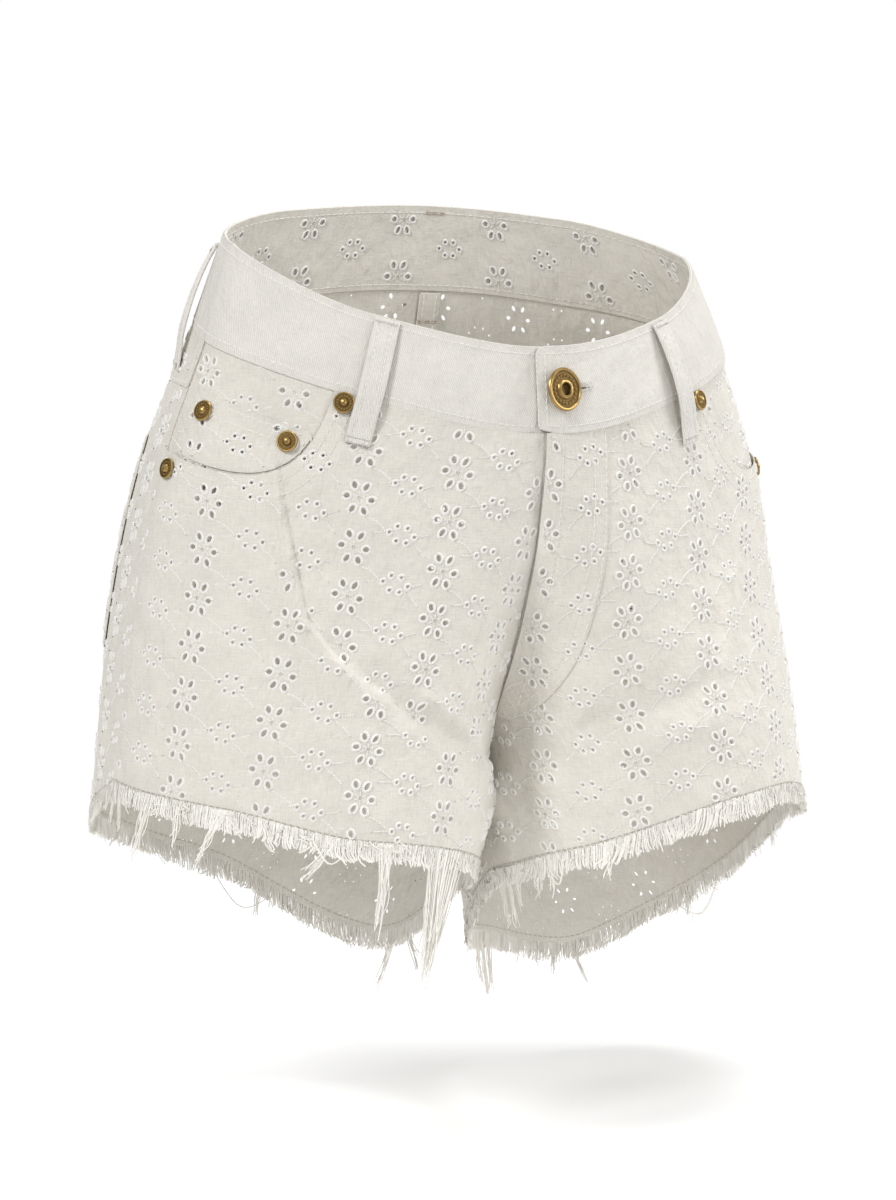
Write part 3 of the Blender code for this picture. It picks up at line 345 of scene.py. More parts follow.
for quarter in (FRONT_RIGHT, FRONT_LEFT, BACK_RIGHT, BACK_LEFT):
    chains, along = rows_at(quarter, LEVELS)
    points = np.stack([read_run(PLACES * run[-1], run, chain) for run, chain in zip(along, chains)])
    seam_row = int(round(WAIST_SEAM * (len(LEVELS) - 1)))
    fall = run_along(points)
    fall = fall - fall[seam_row]
    lengths = np.repeat(along[:, -1:], len(PLACES), axis=1)
    grain = fall - points[seam_row, :, 2]
    normals = outward_normals(quarter, points)
    grid = np.concatenate([points, normals, np.stack([fall, lengths, grain], axis=-1)], axis=2)
    cloth_grids[quarter.name] = grid
    places = np.meshgrid(PLACES * CHART_WIDTH, LEVELS * CHART_HEIGHT)
    height = sum(fold_rise(fold, *places) for fold in FOLDS if fold.quarter is quarter)
    folded = points + normals * height[..., None]
    grid[..., 0:3] = folded
    grid[..., 3:6] = outward_normals(quarter, folded)

HIP_CURVE, HIP_FROM = 8.5, 215.0
Ground = namedtuple("Ground", "lay to_chart to_grain")
# A ground lays chart points on the form, and turns points on the cloth's own grain into chart points
# and back. Grain points are mm from the straight of the outseam, and down.


def hip_curve(height):
    """How far the outseam is shaped in at the hip, at a height on the grain."""
    return HIP_CURVE * (np.maximum(HIP_FROM - height, 0.0) / 100.0) ** 2


def ground_of(quarter):
    def lay(xy):
        here = read_chart(quarter, xy)
        return here[:, 0:3], here[:, 3:6]

    def to_chart(grain_xy):
        across = np.full(len(grain_xy), 0.5)
        down = np.full(len(grain_xy), 0.5)
        for _ in range(26):
            here = read_grid(quarter, across, down)
            across = (grain_xy[:, 0] - hip_curve(grain_xy[:, 1])) / here[:, 7]
            down = down + (grain_xy[:, 1] - here[:, 8]) / 400.0
        return chart(across, down)

    def to_grain(xy):
        here = read_chart(quarter, xy)
        return np.stack([xy[:, 0] / CHART_WIDTH * here[:, 7] + hip_curve(here[:, 8]), here[:, 8]], axis=-1)
    return Ground(lay, to_chart, to_grain)


def inside(loop, points):
    """Which points lie inside the closed loop."""
    x, y = points[:, :1], points[:, 1:]
    x1, y1 = loop.T
    x2, y2 = np.roll(loop, -1, axis=0).T
    crosses = (y1 > y) != (y2 > y)
    rise = np.where(y2 == y1, 1.0, y2 - y1)
    return np.count_nonzero(crosses & (x < (x2 - x1) * (y - y1) / rise + x1), axis=1) % 2 == 1


def gap_to(loop, points):
    """How far each point is from the closed loop."""
    nearest = np.full(len(points), 1e9)
    for start, end in zip(loop, np.roll(loop, -1, axis=0)):
        line = end - start
        share = np.clip(((points - start) @ line) / max(line @ line, 1e-12), 0.0, 1.0)
        nearest = np.minimum(nearest, np.linalg.norm(points - start - share[:, None] * line, axis=1))
    return nearest


def off_at(standoff, flat):
    """How far each point stands off the form, from a rule or from one value for all."""
    return standoff(flat) if callable(standoff) else np.full(len(flat), float(standoff))


def laid_run(ground, flat, standoff):
    laid, normals = ground.lay(flat)
    return laid + normals * off_at(standoff, flat)[:, None], normals


def new_mesh(name, points, faces, finish, uvs, normals=None):
    mesh = bpy.data.meshes.new(name)
    mesh.from_pydata((np.asarray(points) * MM).tolist(), [], faces)
    mesh.materials.append(finish)
    layer = mesh.uv_layers.new(name="cut")
    corner = np.zeros(len(mesh.loops), dtype=int)
    mesh.loops.foreach_get("vertex_index", corner)
    layer.data.foreach_set("uv", np.asarray(uvs, dtype=float)[corner].ravel())
    mesh.shade_smooth()
    if normals is not None:
        mesh.normals_split_custom_set_from_vertices(np.asarray(normals).tolist())
    mesh.update()
    return put_in(name, mesh)


def facing_out(faces, points, normals):
    """The faces, all turned over if most of them look into the form."""
    a, b, c = (points[faces[:, k]] for k in range(3))
    return faces[:, ::-1] if (np.cross(b - a, c - a) * normals[faces[:, 0]]).sum() < 0 else faces


def grid_faces(first, rows, columns, ring=False):
    """Quads over rows of points, one row after another from the first point; a ring's rows are closed."""
    row, column = np.mgrid[0:rows - 1, 0:columns if ring else columns - 1].reshape(2, -1)
    here = first + row * columns + column
    beside = first + row * columns + (column + 1) % columns
    corners = [here, beside, beside + columns, here + columns]
    if not ring:
        corners = [here, here + columns, beside + columns, beside]
    return np.stack(corners, axis=-1).tolist()


def cut_cloth(name, outline, holes, step, ground, standoff, thickness, finish, dense=()):
    """Cloth cut to the outline with its holes, laid on the form: two faces and a rounded edge."""
    low, high = outline.min(axis=0), outline.max(axis=0)
    inner = []
    for k, y in enumerate(np.arange(low[1] + step / 2, high[1], step * 0.87)):
        x = np.arange(low[0] + step * (0.25 + 0.5 * (k % 2)), high[0], step)
        inner.append(np.column_stack([x, np.full(len(x), y)]))
    inner = np.concatenate([*inner, *dense])
    inner = inner[inside(outline, inner)]
    inner = inner[gap_to(outline, inner) > step * 0.3]
    keep = np.ones(len(inner), dtype=bool)
    for hole in holes:
        middle = hole.mean(axis=0)
        keep &= np.linalg.norm(inner - middle, axis=1) > np.linalg.norm(hole - middle, axis=1).max() + 0.5
    inner = inner[keep]
    loops = [outline, *holes]
    edges, owner = [], []
    for number, loop in enumerate(loops):
        first = len(owner)
        edges += [(first + i, first + (i + 1) % len(loop)) for i in range(len(loop))]
        owner += [number] * len(loop)
    owner += [0] * len(inner)
    cut = delaunay_2d_cdt([Vector(p) for p in np.concatenate([*loops, inner])], edges, [], 1, 1e-6, True)
    flat = np.array([tuple(v) for v in cut[0]])
    owner = np.array([owner[ids[0]] if ids else 0 for ids in cut[3]])
    triangles = np.array(cut[2])
    in_hole = (owner[triangles] == owner[triangles][:, :1]).all(axis=1) & (owner[triangles[:, 0]] > 0)
    triangles = triangles[~in_hole]
    triangles = triangles[inside(outline, flat[triangles].mean(axis=1))]

    outer, normals = laid_run(ground, flat, standoff)
    under = ground.lay(flat)[0] + normals * (off_at(standoff, flat) - thickness)[:, None]
    triangles = facing_out(triangles, outer, normals)
    count = len(flat)
    starts, ends = triangles.ravel(), np.roll(triangles, -1, axis=1).ravel()
    rim = ~np.isin(ends * count + starts, starts * count + ends)
    starts, ends = starts[rim], ends[rim]
    outward = np.zeros((count, 3))
    side = np.cross(outer[ends] - outer[starts], normals[starts])
    np.add.at(outward, starts, side)
    np.add.at(outward, ends, side)
    outward = unit(outward)
    edge = (outer + under) / 2 + outward * thickness * 0.35
    used = np.unique(starts)
    place = np.full(count, -1)
    place[used] = np.arange(len(used)) + 2 * count
    faces = triangles.tolist() + (triangles[:, ::-1] + count).tolist()
    faces += np.stack([ends, starts, place[starts], place[ends]], axis=1).tolist()
    faces += np.stack([place[ends], place[starts], starts + count, ends + count], axis=1).tolist()
    uvs = ground.to_grain(flat)
    made = new_mesh(name, np.concatenate([outer, under, edge[used]]), faces, finish,
                    np.concatenate([uvs, uvs, uvs[used]]), np.concatenate([normals, -normals, outward[used]]))
    sides = outer[triangles[:, 1:]] - outer[triangles[:, :1]]
    made["flat_area"] = float(np.linalg.norm(np.cross(sides[:, 0], sides[:, 1]), axis=1).sum() / 2 * MM * MM)
    return made


Repeat = namedtuple("Repeat", "x y across_x across_y down_x down_y skew")
# The repeat is a flower at x, y and at every step across and down from it, with a ring of dots in the
# middle of each four flowers. skew is how far the motifs lean down towards the centre, a mm.
Petal = namedtuple("Petal", "x y long wide")
PETALS = (
    Petal(5.7, 0.0, 1.45, 1.25),
    Petal(2.7, 5.6, 1.8, 1.15),
    Petal(-2.7, 5.6, 1.8, 1.15),
    Petal(-5.7, 0.0, 1.45, 1.25),
    Petal(-2.7, -5.6, 1.8, 1.15),
    Petal(2.7, -5.6, 1.8, 1.15),
)
DOTS = ((5.8, 0.0), (2.35, 3.4), (-2.35, 3.4), (-5.8, 0.0), (-2.35, -3.4), (2.35, -3.4))
DOT = 0.8
WHOLE_MARGIN = 1.4
Eyelet = namedtuple("Eyelet", "x y angle long wide")


def repeat_places(ground, repeat, outline):
    """The middles of the flowers and of the rings of dots that fall near the piece."""
    grain = ground.to_grain(outline)
    low, high = grain.min(axis=0) - 12, grain.max(axis=0) + 12
    flowers, rings = [], []
    for i in range(-18, 19):
        for j in range(-34, 35):
            for made, column, row in ((flowers, i, j), (rings, i + 0.5, j - 0.5)):
                at = np.array((repeat.x + column * repeat.across_x + row * repeat.down_x,
                               repeat.y + column * repeat.across_y + row * repeat.down_y))
                if (low < at).all() and (at < high).all():
                    made.append(at)
    return flowers, rings


def skewed(places, skew):
    return np.stack([places[:, 0], places[:, 1] + skew * places[:, 0]], axis=-1)


def oval(eyelet, grow, count):
    turns = np.arange(count) * math.tau / count
    x, y = (eyelet.long + grow) * np.cos(turns), (eyelet.wide + grow) * np.sin(turns)
    cos, sin = math.cos(eyelet.angle), math.sin(eyelet.angle)
    return np.stack([eyelet.x + x * cos - y * sin, eyelet.y + x * sin + y * cos], axis=-1)


def oval_count(eyelet):
    return 12 if eyelet.long > 1.2 else 8


def eyelets_in(ground, repeat, outline, region):
    """Every eyelet of the repeat that lies whole and undistorted inside the piece, and its region."""
    flowers, rings = repeat_places(ground, repeat, outline)
    made = []
    for x, y in flowers:
        for petal in PETALS:
            dx, dy = petal.x, petal.y + repeat.skew * petal.x
            made.append(Eyelet(x + dx, y + dy, math.atan2(dy, dx), petal.long, petal.wide))
    for x, y in rings:
        for dx, dy in skewed(np.array(DOTS), repeat.skew):
            made.append(Eyelet(x + dx, y + dy, 0.0, DOT, DOT))
    ovals = np.stack([oval(eyelet, WHOLE_MARGIN, 8) for eyelet in made])
    laid = ground.to_chart(ovals.reshape(-1, 2))
    real = ground.lay(laid)[0].reshape(-1, 8, 3)
    across = np.linalg.norm(ovals[:, :4] - ovals[:, 4:], axis=2)
    laid_across = np.linalg.norm(real[:, :4] - real[:, 4:], axis=2)
    whole = inside(outline, laid).reshape(-1, 8).all(axis=1)
    whole &= ((laid_across < 1.5 * across) & (laid_across > 0.62 * across)).all(axis=1)
    if region is not None:
        loop, within = region
        whole &= (inside(loop, laid) == within).reshape(-1, 8).all(axis=1)
    return [eyelet for eyelet, kept in zip(made, whole) if kept]


def eyelet_holes(ground, eyelets):
    """The eyelets' loops on the chart, ready to be cut."""
    counts = [oval_count(eyelet) for eyelet in eyelets]
    laid = ground.to_chart(np.concatenate([oval(e, 0.0, c) for e, c in zip(eyelets, counts)]))
    return np.split(laid, np.cumsum(counts)[:-1])


Rim = namedtuple("Rim", "grow lift share")
RIM_PROFILE = (Rim(-0.06, -0.40, 0.0), Rim(0.08, 0.42, 0.3), Rim(0.62, 0.66, 0.6), Rim(1.18, -0.08, 1.0))


def bind_eyelets(name, ground, eyelets, standoff):
    """The raised satin-stitched rims, each a small rolled ring of thread round its hole."""
    points, faces, uvs, total = [], [], [], 0
    for eyelet in eyelets:
        count = oval_count(eyelet)
        strands = np.arange(count) / count * (24 if count > 10 else 15)
        for rim in RIM_PROFILE:
            points.append(np.column_stack([oval(eyelet, rim.grow, count), np.full(count, rim.lift)]))
            uvs.append(np.column_stack([strands, np.full(count, rim.share)]))
        faces += grid_faces(total, len(RIM_PROFILE), count, ring=True)
        total += count * len(RIM_PROFILE)
    points = np.concatenate(points)
    flat = ground.to_chart(points[:, :2])
    laid, normals = ground.lay(flat)
    laid = laid + normals * (points[:, 2] + off_at(standoff, flat))[:, None]
    faces = facing_out(np.array(faces), laid, normals).tolist()
    return new_mesh(name, laid, faces, EMBROIDERY, np.concatenate(uvs))


def thread_lines(name, runs, width, height, finish):
    """Fine raised lines of thread, each a run of laid points with normals, thick and thin by turns."""
    points, faces, uvs, total = [], [], [], 0
    for laid, normals in runs:
        side = np.cross(unit(np.gradient(laid, axis=0)), normals) * width / 2
        beads = 1.0 + 0.6 * np.cos(np.arange(len(laid)) * math.pi)[:, None]
        for across, lift in ((-1, -0.1), (0, 1.0), (1, -0.1)):
            points.append(laid + side * across * beads + normals * lift * height * beads)
            uvs.append(np.column_stack([run_along(laid), np.full(len(laid), (across + 1) / 2)]))
        faces += grid_faces(total, 3, len(laid))
        total += 3 * len(laid)
    return new_mesh(name, np.concatenate(points), faces, finish, np.concatenate(uvs))


def stem_runs(ground, repeat, outline, standoff, region=None, stemmed=True):
    """The stitched stems that join each ring of dots to the flowers on both sides, and the stamens."""
    flowers, rings = repeat_places(ground, repeat, outline)
    half = repeat.across_x / 2
    stems = (
        ((4.0 - half, -4.5), (9.0 - half, -4.8), (-7.6, 0.0)),
        ((7.7 - half, 1.9), (12.0 - half, 0.6), (-7.6, 0.3)),
        ((7.6, 0.0), (half - 12.5, -0.6), (half - 8.6, -2.6)),
        ((5.6, 3.0), (half - 13.5, 4.2), (half - 9.6, 8.0)),
    )
    curves = []
    for ring in rings if stemmed else ():
        for start, bend, end in np.array(stems):
            u = np.linspace(0, 1, 13)[:, None]
            curve = start * (1 - u) ** 2 + 2 * bend * u * (1 - u) + end * u * u
            curves.append(ring + skewed(curve, repeat.skew))
    for flower in flowers:
        for k in range(6):
            angle = math.tau * (k + 0.5) / 6
            ray = np.array([math.cos(angle), math.sin(angle)]) * np.linspace(0.8, 4.4, 5)[:, None]
            curves.append(flower + skewed(ray, repeat.skew))
    runs = []
    for curve in curves:
        flat = ground.to_chart(curve)
        within = inside(outline, flat).all()
        if within and (region is None or (inside(region[0], flat) == region[1]).all()):
            runs.append(laid_run(ground, flat, standoff))
    return runs


def tinted(colour, share=1.0):
    return (*[min(1.0, part * share) for part in colour], 1.0)


def cotton_finish(name, colour, rib=0.0):
    """Woven cotton: uneven warp and weft yarns, twill ribs, a soft crinkle, and slightly uneven shade."""
    finish, tree, shader = new_finish(name, Roughness=0.9, Specular_IOR_Level=0.2, Sheen_Weight=0.12,
                                      Sheen_Roughness=0.5)
    cut = add_node(tree, "UVMap", uv_map="cut").outputs["UV"]

    def stretched_noise(across, down, detail):
        stretch = add_node(tree, "Mapping", Vector=cut, Scale=(across, down, 1.0))
        noise = add_node(tree, "TexNoise", Vector=stretch.outputs["Vector"], Scale=1.0, Detail=detail)
        return noise.outputs["Fac"]

    def sum_of(first, second, share=1.0):
        total = add_node(tree, "Math", operation="MULTIPLY_ADD")
        total.inputs[1].default_value = share
        tree.links.new(second, total.inputs[0])
        tree.links.new(first, total.inputs[2])
        return total.outputs[0]

    yarns = sum_of(stretched_noise(1.7, 0.16, 2.0), stretched_noise(0.16, 1.7, 2.0))
    weave = sum_of(yarns, stretched_noise(2.6, 2.6, 3.0), 0.6)
    if rib:
        lean = add_node(tree, "Mapping", Vector=cut, Rotation=(0.0, 0.0, 0.42))
        ribs = add_node(tree, "TexWave", bands_direction="X", Vector=lean.outputs["Vector"], Scale=0.29,
                        Distortion=0.7, Detail_Scale=0.4)
        weave = sum_of(weave, ribs.outputs["Fac"], rib)
    spread = add_node(tree, "MapRange", Value=sum_of(weave, stretched_noise(0.035, 0.05, 3.0), 0.9),
                      From_Min=0.9, From_Max=2.3 + rib * 0.6)
    tint = add_node(tree, "Mix", data_type="RGBA", Factor=spread.outputs["Result"],
                    A=tinted(colour, 0.80), B=tinted(colour, 1.12))
    crinkle = add_node(tree, "Bump", Height=stretched_noise(0.10, 0.07, 3.0), Strength=0.8, Distance=0.0032)
    woven = add_node(tree, "Bump", Height=weave, Normal=crinkle.outputs["Normal"], Strength=0.5,
                     Distance=0.00042)
    set_up(shader, Base_Color=tint.outputs["Result"], Normal=woven.outputs["Normal"])
    return finish


def thread_finish(name, colour, pitch, frayed=False):
    """Cotton thread: glossy strands laid side by side across its line, or frayed out and of uneven tone."""
    finish, tree, shader = new_finish(name, Roughness=0.5, Sheen_Weight=0.15)
    cut = add_node(tree, "UVMap", uv_map="cut").outputs["UV"]
    waves = add_node(tree, "TexWave", bands_direction="X", Vector=cut, Scale=pitch, Distortion=0.8)
    strands = waves.outputs["Fac"]
    if frayed:
        stretch = add_node(tree, "Mapping", Vector=cut, Scale=(0.06, 1.0, 1.0))
        tone = add_node(tree, "TexNoise", Vector=stretch.outputs["Vector"], Scale=0.9, Detail=1.0)
        levels = add_node(tree, "MapRange", Value=tone.outputs["Fac"], From_Min=0.35, From_Max=0.65,
                          To_Min=0.84, To_Max=1.0)
        tint = add_node(tree, "Mix", data_type="RGBA", blend_type="MULTIPLY", Factor=1.0, A=tinted(colour),
                        B=levels.outputs["Result"])
    else:
        tint = add_node(tree, "Mix", data_type="RGBA", Factor=strands, A=tinted(colour, 0.8),
                        B=tinted(colour))
    bump = add_node(tree, "Bump", Height=strands, Strength=0.6, Distance=0.00015)
    set_up(shader, Base_Color=tint.outputs["Result"], Normal=bump.outputs["Normal"])
    return finish


EYELET_COTTON = cotton_finish("eyelet_cotton_cloth", (0.72, 0.69, 0.625))
EMBROIDERY = thread_finish("embroidery_thread", (0.98, 0.965, 0.92), 0.314)
STEM_THREAD = thread_finish("stem_thread", (0.92, 0.90, 0.845), 0.314)
TOPSTITCH = thread_finish("topstitch_thread", (0.93, 0.905, 0.84), 0.6)
# The stay-stitch thread is coloured dark olive-grey as painted shadow: it draws the line of shade along the
# stitching above the fray.
STAY_THREAD_PAINTED_SHADOW = thread_finish("stay_thread_painted_shadow", (0.56, 0.525, 0.45), 0.6)
FRAYED = thread_finish("frayed_yarn", (0.99, 0.965, 0.905), 0.45, frayed=True)

CLOTH_STEP = 3.2
CLOTH_THICKNESS = 0.7
HEM_STEP = 3.0
TOP_EDGE = WAIST_SEAM + SEAM_GAP / 2 / CHART_HEIGHT
SCOOP_DEPTH = 55.5
SCOOP_SQUARENESS = 3.4
SCOOP_REACH = {RIGHT: 77.0, LEFT: 68.0}
SCOOP_ROWS = (4.2, 10.2)


def row_length(quarter, down):
    down = np.atleast_1d(np.asarray(down, float))
    return read_grid(quarter, np.full(len(down), 0.5), down)[:, 7]


def seam_share(quarter, down):
    """Half the gap at a seam, as a share of the row there."""
    return SEAM_GAP / 2 / row_length(quarter, down)[0]


def run_down(quarter, across_mm, start, end, step):
    """Chart points down the outseam, or the inner edge when negative, parted from it by across_mm."""
    levels = np.linspace(start, end, max(2, int(abs(end - start) * CHART_HEIGHT / step) + 1))
    share = across_mm / row_length(quarter, levels)
    return chart(share if across_mm > 0 else 1.0 + share, levels)


def run_across(down, start, end, step):
    places = np.linspace(start, end, max(2, int(abs(end - start) * CHART_WIDTH / step) + 1))
    return chart(places, np.full(len(places), down))


def inner_and_hem(quarter, start):
    """The piece's edge down the centre seam and inseam and back along the hem."""
    centre = chart(1.0, np.linspace(start, CROTCH, 60)[:-1])
    foot = seam_share(quarter, 1.0)
    return np.concatenate([centre, run_down(quarter, -SEAM_GAP / 2, CROTCH, 1.0, HEM_STEP),
                           run_across(1.0, 1.0 - foot, foot, HEM_STEP)[1:]])


def scoop(quarter, grow, points=70):
    """The pocket opening from the waist seam round to the outseam, grown outwards by some mm."""
    reach, depth = SCOOP_REACH[quarter.side] + grow, SCOOP_DEPTH + grow
    power = 2.0 / SCOOP_SQUARENESS
    angles = np.linspace(0.0, math.pi / 2, 361)
    curve = np.column_stack([reach * np.abs(np.cos(angles)) ** power, depth * np.sin(angles) ** power])
    along = run_along(curve)
    return np.stack(spot(quarter, *read_run(np.linspace(0.0, along[-1], points), along, curve).T), axis=-1)


def front_outline(quarter):
    opening = np.maximum(scoop(quarter, 0.0), (seam_share(quarter, 0.4), TOP_EDGE))
    below = run_down(quarter, SEAM_GAP / 2, 1.0, opening[-1, 1], CLOTH_STEP)
    top = run_across(TOP_EDGE, opening[0, 0], 1.0, CLOTH_STEP)
    return np.concatenate([top[:-1], inner_and_hem(quarter, TOP_EDGE), below[1:-1], chart(*opening[:0:-1].T)])


def declare(cloth, node, with_pieces):
    """Puts a cut piece and the pieces with it on the body, in place of its solid, which it hides."""
    for piece in (cloth, *with_pieces):
        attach(piece, "root")
    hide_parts(node)


def faced_in(ground, standoff):
    """The ground and standoff of a piece's under face, for a right side that looks into the shorts."""
    def lay(xy):
        points, normals = ground.lay(xy)
        return points, -normals

    def under_standoff(xy):
        return CLOTH_THICKNESS - standoff(xy)
    return ground._replace(lay=lay), under_standoff


DRAWN_LONG, DRAWN_WIDE = 0.8, 0.74
STEM_WIDTH, STEM_HEIGHT = 0.66, 0.42
STAY_WIDTH, STAY_HEIGHT = 0.6, 0.3


def eyelet_piece(name, ground, outline, repeats, standoff, node, step=2.9, runs=(),
                 dense=(), fray=(), hem=(), drawn_below=1.0, faces_in=False):
    """One cut piece of eyelet cotton with its bound holes, stitched stems and topstitching. Below
    drawn_below the stitching has drawn the eyelets in."""
    worked = faced_in(ground, standoff) if faces_in else (ground, standoff)
    eyelets, stems = [], []
    for repeat, region in repeats:
        eyelets += eyelets_in(ground, repeat, outline, region)
        stems += stem_runs(worked[0], repeat, outline, worked[1], region, not faces_in)
    falls = ground.to_chart(np.array([(e.x, e.y) for e in eyelets]))[:, 1] / CHART_HEIGHT
    eyelets = [e._replace(long=e.long * DRAWN_LONG, wide=e.wide * DRAWN_WIDE) if fall > drawn_below else e
               for e, fall in zip(eyelets, falls)]
    cloth = cut_cloth(name, outline, eyelet_holes(ground, eyelets), step, ground, standoff, CLOTH_THICKNESS,
                      EYELET_COTTON, dense)
    pieces = [bind_eyelets(f"{name}_rims", worked[0], eyelets, worked[1]),
              thread_lines(f"{name}_stems", stems, STEM_WIDTH, STEM_HEIGHT, STEM_THREAD)]
    if runs:
        pieces.append(topstitches(f"{name}_stitches", runs))
    if hem:
        # the stay-stitches are drawn in the dark thread whose colour is painted shadow along the hem
        pieces.append(topstitches(f"{name}_stay_stitches", hem, STAY_WIDTH, STAY_HEIGHT, STAY_THREAD_PAINTED_SHADOW))
    declare(cloth, node, [*pieces, *fray])


STITCH_LONG, STITCH_GAP = 2.7, 0.6
STITCH_WIDTH, STITCH_HEIGHT = 0.62, 0.4
StitchPlace = namedtuple("StitchPlace", "share width lift")
STITCH = (
    StitchPlace(0.0, 0.45, -0.35),
    StitchPlace(0.12, 0.9, 0.6),
    StitchPlace(0.5, 1.0, 1.0),
    StitchPlace(0.88, 0.9, 0.6),
    StitchPlace(1.0, 0.45, -0.35),
)


def topstitches(name, runs, width=STITCH_WIDTH, height=STITCH_HEIGHT, finish=TOPSTITCH):
    """Lockstitches along each laid line: short plump threads that dip into the cloth at both ends."""
    points, faces, uvs, total = [], [], [], 0
    shares, widths, lifts = np.transpose(STITCH)
    for laid, normals in runs:
        along = run_along(laid)
        count = max(1, int(along[-1] / (STITCH_LONG + STITCH_GAP)))
        pitch = along[-1] / count
        at = (np.arange(count)[:, None] * pitch + STITCH_GAP / 2 + shares * (pitch - STITCH_GAP)).ravel()
        place, up = read_run(at, along, laid), read_run(at, along, normals)
        side = np.cross(unit(read_run(at, along, np.gradient(laid, axis=0))), up)
        wide = np.tile(widths, count)[:, None] * width / 2
        high = np.tile(lifts, count)[:, None] * height
        for k, (across, lift) in enumerate(((-1, 0.0), (-0.6, 0.8), (0.6, 0.8), (1, 0.0))):
            points.append(place + side * across * wide + up * (high * lift + (0.06 if lift else -0.12)))
            uvs.append(np.column_stack([at, np.full(len(at), k / 3)]))
        n = len(at)
        first = (np.arange(count)[:, None] * 5 + np.arange(4)).ravel()
        for k in range(3):
            low = total + k * n + first
            faces += np.stack([low, low + n, low + n + 1, low + 1], axis=1).tolist()
        total += 4 * n
    return new_mesh(name, np.concatenate(points), faces, finish, np.concatenate(uvs))


def scoop_run(quarter, grow):
    line = scoop(quarter, grow, 120)
    line = line[(line[:, 1] > TOP_EDGE + 0.003) & (line[:, 0] > 0.012)]
    return laid_run(ground_of(quarter), chart(*line.T), 0.0)


STAY_STITCH_DOWN = 0.994


def hem_runs(quarter):
    """The stay-stitch above the fray, seen on both faces of the cloth."""
    at = chart(np.linspace(0.004, 0.996, 200), np.full(200, STAY_STITCH_DOWN))
    outer, normals = laid_run(ground_of(quarter), at, 0.0)
    inner, _ = laid_run(ground_of(quarter), at, -CLOTH_THICKNESS)
    return [(outer, normals), (inner, -normals)]


def below_hem(quarter, path):
    """Points of a path given as mm across, mm below the hem and mm off the form, with their normals."""
    share = np.clip(path[:, 0] / row_length(quarter, 1.0)[0], 0.0015, 0.9985)
    hem = read_grid(quarter, share, np.ones(len(path)))
    above = read_grid(quarter, share, np.full(len(path), 0.975))
    falling = unit(hem[:, 0:3] - above[:, 0:3])
    return hem[:, 0:3] + falling * path[:, 1:2] + hem[:, 3:6] * path[:, 2:3], hem[:, 3:6]


def hanging_yarns(name, quarter, groups):
    """Three-sided yarns along paths, thinning towards their ends."""
    points, faces, uvs, total = [], [], [], 0
    for paths, radius in groups:
        many, steps = paths.shape[:2]
        laid, normals = (part.reshape(many, steps, 3) for part in below_hem(quarter, paths.reshape(-1, 3)))
        ahead = unit(np.gradient(laid, axis=1))
        side = unit(np.cross(ahead, normals))
        up = np.cross(side, ahead)
        thin = radius * np.linspace(1.0, 0.75, steps)[None, :, None]
        turns = [side * math.cos(a) + up * math.sin(a) for a in (0.5, 2.6, 4.7)]
        points.append(np.stack([laid + turn * thin for turn in turns], axis=2).reshape(-1, 3))
        along = np.tile(np.linspace(0, 12, steps), many)
        uvs.append(np.repeat(np.column_stack([along, np.repeat(np.arange(many) * 3.7, steps)]), 3, axis=0))
        first = total + ((np.arange(many)[:, None] * steps + np.arange(steps - 1)) * 3).ravel()
        for k in range(3):
            after = (k + 1) % 3
            faces += np.stack([first + k, first + after, first + 3 + after, first + 3 + k], axis=1).tolist()
        total += many * steps * 3
    yarns = new_mesh(name, np.concatenate(points), faces, FRAYED, np.concatenate(uvs))
    yarns.data.shade_flat()
    return yarns


def fray_paths(rng, length, per_mm, long, slant, sweep, out, steps=8):
    """Warp yarns side by side below the stay-stitch: they lean, end and curl together in slow waves."""
    many = int(length * per_mm)
    start = (np.arange(many) + rng.uniform(0.0, 1.0, many)) / per_mm

    def slow(spacing, size):
        knots = rng.normal(0.0, size, int(length / spacing) + 3)
        return np.interp(start / spacing, np.arange(len(knots)), knots)

    lean = slant + slow(13.0, sweep * 0.7) + slow(4.0, sweep * 0.3) + rng.normal(0.0, 0.22, many)
    reach = long * (1.0 + slow(20.0, 0.10) + slow(4.5, 0.06) + rng.normal(0.0, 0.035, many))
    stray = rng.uniform(size=many) < 0.06
    lean[stray] += rng.normal(0.0, 4.0, stray.sum())
    reach[stray] *= rng.uniform(0.7, 1.4, stray.sum())
    u = np.linspace(0.0, 1.0, steps)[None, :]
    turn = rng.uniform(0, math.tau, many)[:, None]
    curl = rng.uniform(0.04, 0.2, many)[:, None] + 1.2 * stray[:, None]
    speed = rng.uniform(3.0, 7.0, many)[:, None]
    hook = (slow(7.0, 1.0) + rng.normal(0.0, 0.4, many))[:, None]
    across = start[:, None] + lean[:, None] * u ** 1.4 + curl * np.sin(speed * u + turn) * u
    across = across + hook * 1.6 * np.maximum(u - 0.6, 0.0) ** 2 * 6.0
    tucked = rng.uniform(0.1, 1.2, many)[:, None]
    drop = -tucked + (np.clip(reach, 1.5, long * 1.5)[:, None] + 0.6) * u ** 0.95
    outward = out + rng.uniform(-0.25, 0.25, many)[:, None] + (0.5 * hook + curl) * 0.8 * u ** 2
    return np.stack([across, drop, np.broadcast_to(outward, across.shape)], axis=-1)


def loose_paths(rng, length, many):
    """Weft yarns that have come away and lie along the hem in loops."""
    start = rng.uniform(0.0, length, many)[:, None]
    u = np.linspace(0.0, 1.0, 12)[None, :]
    across = start + rng.uniform(8.0, 24.0, many)[:, None] * u
    drop = rng.uniform(1.0, 6.0, many)[:, None] + rng.uniform(0.8, 3.5, many)[:, None] * np.sin(
        rng.uniform(3.0, 9.0, many)[:, None] * u + rng.uniform(0, math.tau, many)[:, None])
    out = rng.uniform(0.0, 0.9, many)[:, None] + 0.6 * np.sin(5.0 * u + start)
    return np.stack([np.clip(across, 0.5, length - 0.5), drop, out], axis=-1)


